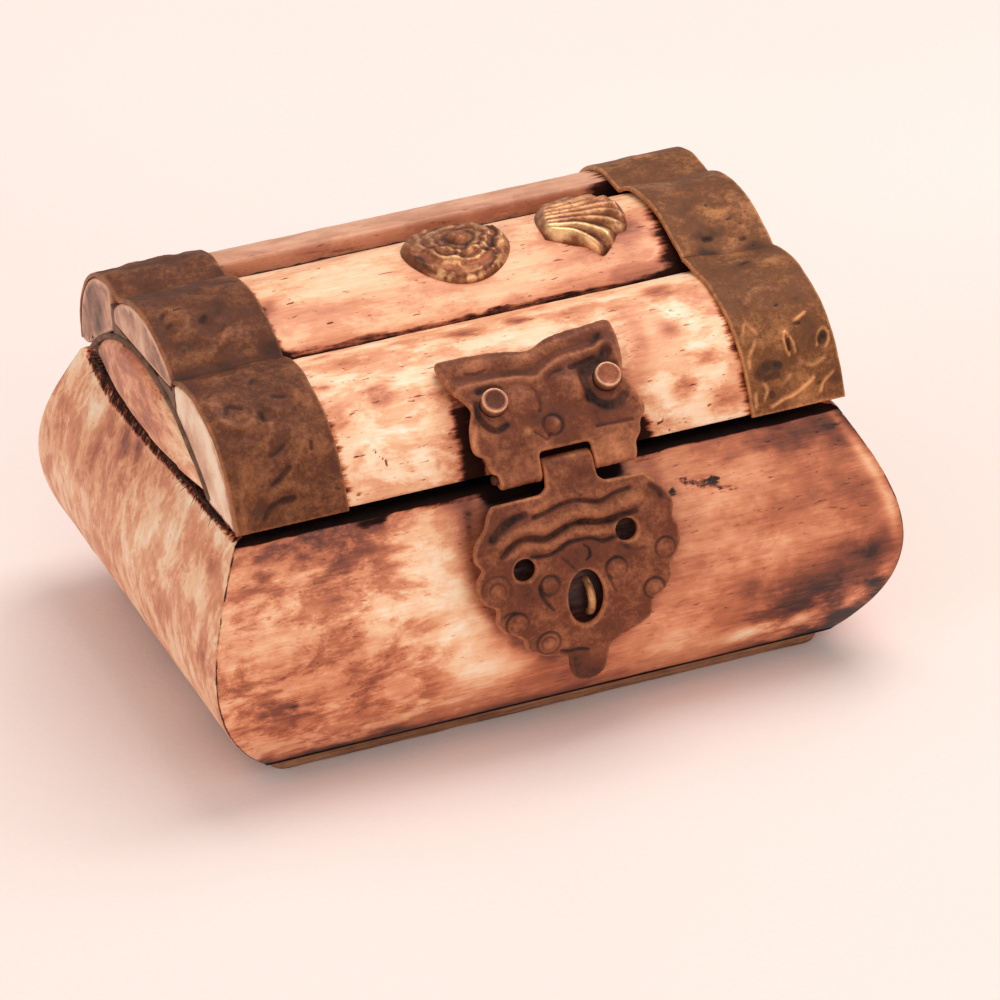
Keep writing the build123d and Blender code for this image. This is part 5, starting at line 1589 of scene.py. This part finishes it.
STAPLE_X = 2.6
STAPLE_CROWN = (-32.55, 16.7, 1.9)      # y, z and radius of the half circle
STAPLE_LEG_Y = (-27.5, -32.5)
STAPLE_WIRE_R = 0.45
PIN_ROD_X = (-6.5, 10.25)
PIN_ROD_R = 0.58


def staple():
    crown_y, crown_z, r = STAPLE_CROWN
    root_y, bend_y = STAPLE_LEG_Y
    low, high = crown_z - r, crown_z + r
    crown = [(STAPLE_X, crown_y - r * math.cos(b), crown_z + r * math.sin(b))
             for b in np.linspace(-np.pi / 2, np.pi / 2, 40)]
    line = [(STAPLE_X, root_y, low), (STAPLE_X, bend_y, low), *crown, (STAPLE_X, bend_y, high),
            (STAPLE_X, root_y, high)]
    obj = wire("staple_wire", line, STAPLE_WIRE_R)
    return finish_piece(obj, "base", STAPLE_BRASS, "hasp_brass", "hasp_staple")


staple()
rod = wire("pin_rod", [(x, *HASP_PIN) for x in PIN_ROD_X], PIN_ROD_R, attrs={"worn": 0.0, "hollow": 0.5})
finish_piece(rod, "lid", HASP, "copper_pins", "hasp_pin")


# =====================================================================
# ornaments on the top stave
# =====================================================================

def on_top(x, y, lift):
    """A point over the top stave, lift above its surface and square to it."""
    a = np.arcsin(np.clip((y - TOP_DOME[0]) / TOP_DOME[2], -1, 1))
    r = TOP_DOME[2] + lift
    return np.stack([x, TOP_DOME[0] + r * np.sin(a), TOP_DOME[1] + r * np.cos(a)], -1)


def ornament(name, loop, height_fn, node):
    def top(points, edge):
        x, y = points.T
        h, _, _ = height_fn(x, y)
        return on_top(x, y, 0.05 + h * step_up(edge, -0.1, 0.8) + 0.25 * step_up(edge, 0, 0.2))

    def under(points, edge):
        x, y = points.T
        return on_top(x, y, -0.1)

    def attrs(points, edge):
        x, y = points.T
        _, worn, hollow = height_fn(x, y)
        return {"worn": np.clip(worn, 0, 1), "hollow": np.clip(hollow + 0.3 * step_up(0.4 - edge, 0, 0.4),
                                                               0, 1)}

    obj = plate(name, [loop], 0.2, top, under, attrs)
    return finish_piece(obj, "lid", GILT, "gilt_brass", node)


MEDALLION = (1.4, -0.7)
MEDALLION_R = 6.1
MEDALLION_BOSS = (2.3, 0.6)


def medallion_height(x, y):
    """A flower: a ringed boss towards the rear, ribs and folds below it, and a raised rim."""
    dx, dy = x - MEDALLION[0], y - MEDALLION[1]
    r = np.hypot(dx, dy)
    boss_x, boss_y = MEDALLION_BOSS
    flat = flat3(x, y)
    layers = fresh_layers(flat, 1.3, 0.1, 201)
    knobs = fbm(flat, 0.8, 3, 203)
    layers[0] += 0.4 + 0.25 * bell(r - 5.4, 0.5) * (0.6 + knobs)
    boss, turn = np.hypot(x - boss_x, y - boss_y), np.arctan2(y - boss_y, x - boss_x)
    for radius, count, phase in ((3.0, 3.5, 0.4), (4.4, 4.5, 1.1)):
        petal = boss - radius - 0.45 * np.abs(np.cos(count * turn + phase))
        layers[0] += 0.24 * bell(petal, 0.36)
        layers[1] += 0.3 * bell(petal, 0.25)
        layers[2] += 0.45 * bell(petal + 0.6, 0.22)
    layers[0] += 0.5 * (1 - step_up(boss, 0.6, 1.5)) - 0.2 * bell(boss - 1.7, 0.3)
    layers[2] += 0.6 * bell(boss - 1.7, 0.35)
    for k in range(12):
        a0 = math.radians(-176 + 15.5 * k)
        bend = 0.32 * math.sin(2.3 * k)
        line = [(boss_x + rr * math.cos(a0 + bend * t), boss_y + rr * math.sin(a0 + bend * t))
                for t, rr in ((0.0, 2.0), (0.5, 3.6), (1.0, 5.2 + 0.5 * math.cos(3.1 * k)))]
        ridge(x, y, line, 0.4, 0.1, layers, 0.1)
        groove(x, y, [(px + 0.5, py + 0.1) for px, py in line], 0.22, 0.12, layers, 0.26)
    groove(x, y, ((-3.6, -1.8), (-3.4, -3.4), (-2.4, -5.0), (-0.4, -6.0), (2.2, -6.1), (4.6, -5.0)), 0.3,
           0.16,
           layers, 0.5)
    layers[2] += 0.8 * bell(np.hypot(x + 3.6, y + 2.6), 0.7)
    # the knobbly rim is made brighter on its front side only: painted highlight
    layers[1] += np.clip(0.4 + 1.6 * knobs, 0, 1) * bell(r - 5.7, 0.4) * step_up(-dy, 1, 5)
    return layers


SHELL_FLUTES = (((11.9, -2.4), (14.2, -3.4), (15.6, -5.2), (16.1, -7.2)),
                ((12.2, -1.7), (15.2, -2.4), (17.2, -4.0), (18.3, -6.0)),
                ((12.4, -0.9), (15.8, -1.4), (18.4, -2.4), (19.9, -4.2)),
                ((12.5, 0.0), (16.0, -0.4), (19.2, -0.8), (20.9, -2.4)),
                ((12.8, 0.9), (16.2, 0.7), (19.4, 0.8), (21.0, 0.2)),
                ((13.2, 1.9), (16.2, 2.0), (19.0, 2.4), (20.8, 2.6)),
                ((13.6, 2.9), (16.2, 3.4), (18.6, 4.2), (20.0, 4.6)),
                ((14.0, 3.8), (16.0, 4.8), (17.6, 5.8)))


def shell_height(x, y):
    """A fluted wing-like shell, its ribs sweeping from the left tip to the scalloped edge."""
    layers = fresh_layers(flat3(x, y), 1.4, 0.06, 211)
    layers[0] += 0.4
    for k, flute in enumerate(SHELL_FLUTES):
        # the two lower flutes are made brighter: painted highlight
        bright = 0.75 if k < 2 else 0.36
        ridge(x, y, flute, 0.52, 0.5 if k == 0 else 0.4, layers, bright)
    for flute, after in zip(SHELL_FLUTES[:-1], SHELL_FLUTES[1:]):
        near = flute[len(flute) - len(after):]
        between = [((a[0] + b[0]) / 2, (a[1] + b[1]) / 2) for a, b in zip(near, after)]
        groove(x, y, between, 0.22, 0.2, layers, 0.6)
    # a bright patch on the lower left of the shell: painted highlight
    layers[1] += 0.9 * bell(np.hypot((x - 13.0) / 1.3, y + 3.3), 0.9)
    return layers


medallion_loop = resample(ellipse(*MEDALLION, MEDALLION_R, MEDALLION_R, 200), 0.25, closed=True)
ornament("medallion_relief", medallion_loop, medallion_height, "flower_medallion")
SHELL_SHAPE = ((11.3, -2.9), (11.6, 0.8), (12.9, 4.3), (15.0, 6.0), (17.5, 6.4), (20.0, 5.2), (21.5, 2.4),
               (21.5, -1.0), (20.6, -4.0), (19.4, -4.4), (18.4, -5.6), (16.6, -7.0), (15.4, -5.6),
               (13.6, -4.6))
shell_loop = curve_through([*SHELL_SHAPE, SHELL_SHAPE[0]], 300)[:-1]
ornament("shell_relief", resample(shell_loop, 0.25, closed=True), shell_height, "shell_ornament")


# =====================================================================
# inside: pads and lining
# =====================================================================

def pad(name, half_x, half_y, z_flat, z_full, centre_y, node, body, upward, shear=False):
    """A thin quilted pad, crowned between its edges, flat on its board."""
    nx, ny = int(2 * half_x / 0.6), int(2 * half_y / 0.6)
    x, y = np.meshgrid(np.linspace(-half_x, half_x, nx), np.linspace(-half_y, half_y, ny), indexing="ij")
    d = np.minimum(half_x - np.abs(x), half_y - np.abs(y))
    swell = 1 - np.exp(-d / 1.6)
    p = flat3(x, y)
    soft = 1 + 0.08 * fbm(p, 7, 3, 211)
    tuft = np.ones(x.shape)
    for cx in (-half_x * 0.5, 0, half_x * 0.5):
        for cy in (-half_y * 0.42, half_y * 0.42):
            tuft -= 0.45 * bell(np.hypot(x - cx, y - cy), 1.5)
    lift = (z_full - z_flat) * (0.25 + 0.7 * swell * tuft) * np.clip(soft, 0.8, 1.05)
    pull = 0.25 * (1 - swell)
    xx = x * (1 - pull / half_x) + (skew(y + centre_y) if shear else 0)
    yy = y * (1 - pull / half_y) + centre_y
    top = np.stack([xx, yy, z_flat + lift], -1)
    low = np.stack([xx, yy, np.full(x.shape, z_flat)], -1)
    obj = slab(name, top if upward else low, low if upward else top, None, 60)
    finish_piece(obj, body, VELVET, "velvet", node)
    return obj


pad("pad_floor", 29.2, 22.2, z_flat=1.45, z_full=2.85, centre_y=0.0,
    node="floor_pad", body="base", upward=True)
pad("pad_lid", 28.6, 21.4, z_flat=30.76, z_full=29.95, centre_y=0.2,
    node="lid_pad", body="lid", upward=False, shear=True)


CAVITY_HALF = (29.93, 22.93)
CAVITY_CORNER_R = 0.9
LINING_T = 0.42
LINING_Z = (1.5, 29.45)


def lining():
    """The velvet strip glued round the inside of the walls."""
    loop = rounded_rectangle(*CAVITY_HALF, CAVITY_CORNER_R, 8, 0.7)
    n = loop_normals(loop)
    heights = np.linspace(*LINING_Z, 50)
    zz = np.broadcast_to(heights[:, None], (len(heights), len(loop)))
    p3 = np.stack([np.broadcast_to(loop[:, 0], zz.shape), np.broadcast_to(loop[:, 1], zz.shape), zz], -1)
    ripple = 0.05 * fbm(p3, 5, 3, 221)
    n3 = np.concatenate([n, np.zeros((len(n), 1))], 1)[None]
    outer = p3 - n3 * 0.02
    inner = p3 - n3 * (LINING_T + ripple)[..., None]
    inner[-1, :, 2] -= 0.12
    rows, m = zz.shape
    index = np.arange(rows * m).reshape(rows, m)
    nxt = np.roll(index, -1, 1)
    quad = ring_quads(index)
    total = rows * m
    faces = [tuple(q) for q in quad] + [tuple(q[::-1] + total) for q in quad]
    for row in (0, rows - 1):
        faces += [(index[row, k], nxt[row, k], nxt[row, k] + total,
                   index[row, k] + total) for k in range(m)]
    obj = make_mesh("lining_velvet", np.vstack([outer.reshape(-1, 3), inner.reshape(-1, 3)]), faces, None,
                    60)
    finish_piece(obj, "base", VELVET, "velvet", "wall_lining")
    return obj


lining()


# =====================================================================
# CAD nodes that stay, with their finishes
# =====================================================================

for node, material in (("front_wall", WOOD), ("rear_wall", WOOD), ("left_wall", WOOD),
                       ("right_wall", WOOD), ("lid_board", WOOD), ("lid_core", WOOD),
                       ("left_strap_pins", PIN_DARK), ("right_strap_pins", PIN_DARK),
                       ("left_hinge_base_leaf", STRAP), ("right_hinge_base_leaf", STRAP),
                       ("left_hinge_lid_leaf", STRAP), ("right_hinge_lid_leaf", STRAP),
                       ("left_hinge_pin", COPPER), ("right_hinge_pin", COPPER),
                       ("base_hinge_nails", COPPER), ("lid_hinge_nails", COPPER)):
    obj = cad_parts[node]
    obj.data.materials.clear()
    obj.data.materials.append(material)


# =====================================================================
# stage, light and camera
# =====================================================================

def floor_material():
    s = Shader("pale_cloth_floor")
    p = s.coord()
    weave = s.noise(p, 1400, 3, 0.5)
    broad = s.noise(p, 9, 2, 0.5)
    level = s.add(s.times(broad, 0.6), s.times(weave, 0.3))
    colour = s.ramp(level, ((0.2, (243, 226, 221)), (0.8, (250, 238, 234))))
    return s.set(Base_Color=colour, Roughness=0.9, Specular_IOR_Level=0.1,
                 Normal=s.bump(weave, 0.15, 0.0002))


# from here on lengths are in metres
FLOOR_HALF = 1.6
LOOK_AT = (0, 0, 0.02)
WORLD_STRENGTH = 0.57
CAMERA_LENS = 219.6
CAMERA_SENSOR = 36.0
CAMERA_RIGHT = (0.93364, -0.35126, -0.0703)
CAMERA_UP = (0.21653, 0.39701, 0.89191)
CAMERA_BACK = (-0.28538, -0.84794, 0.44672)
CAMERA_PLACE = (-0.19356, -0.58872, 0.32333)

floor_mesh = bpy.data.meshes.new("floor")
floor_corners = [(FLOOR_HALF * a, FLOOR_HALF * b, 0) for a, b in ((-1, -1), (1, -1), (1, 1), (-1, 1))]
floor_mesh.from_pydata(floor_corners, [], [(0, 1, 2, 3)])
floor = bpy.data.objects.new("floor", floor_mesh)
bpy.context.scene.collection.objects.link(floor)
floor.data.materials.append(floor_material())


def area_light(name, place, size, power, colour):
    """A square lamp that points at the box."""
    data = bpy.data.lights.new(name, "AREA")
    data.shape = "SQUARE"
    data.size = size
    data.energy = power
    data.color = colour
    obj = bpy.data.objects.new(name, data)
    bpy.context.scene.collection.objects.link(obj)
    obj.location = place
    obj.rotation_euler = (Vector(LOOK_AT) - obj.location).to_track_quat("-Z", "Y").to_euler()


area_light("key", (0.30, 0.12, 0.80), 0.6, 4.3, (1.0, 0.96, 0.92))
area_light("front_fill", (0.1, -0.9, 0.5), 0.7, 2.1, (1.0, 0.96, 0.93))
area_light("left_fill", (-0.8, -0.35, 0.4), 0.6, 1.1, (1.0, 0.95, 0.9))
world = bpy.data.worlds.new("studio")
bpy.context.scene.world = world
world.use_nodes = True
background = world.node_tree.nodes["Background"]
background.inputs["Color"].default_value = (1.0, 0.95, 0.91, 1.0)
background.inputs["Strength"].default_value = WORLD_STRENGTH
bpy.context.scene.view_settings.view_transform = "Standard"

camera_data = bpy.data.cameras.new("camera")
camera_data.lens = CAMERA_LENS
camera_data.sensor_width = CAMERA_SENSOR
camera_data.clip_start = 0.01
camera = bpy.data.objects.new("camera", camera_data)
bpy.context.scene.collection.objects.link(camera)
axes = zip(CAMERA_RIGHT, CAMERA_UP, CAMERA_BACK, CAMERA_PLACE)
camera.matrix_world = Matrix([*axes, (0, 0, 0, 1)])
bpy.context.scene.camera = camera
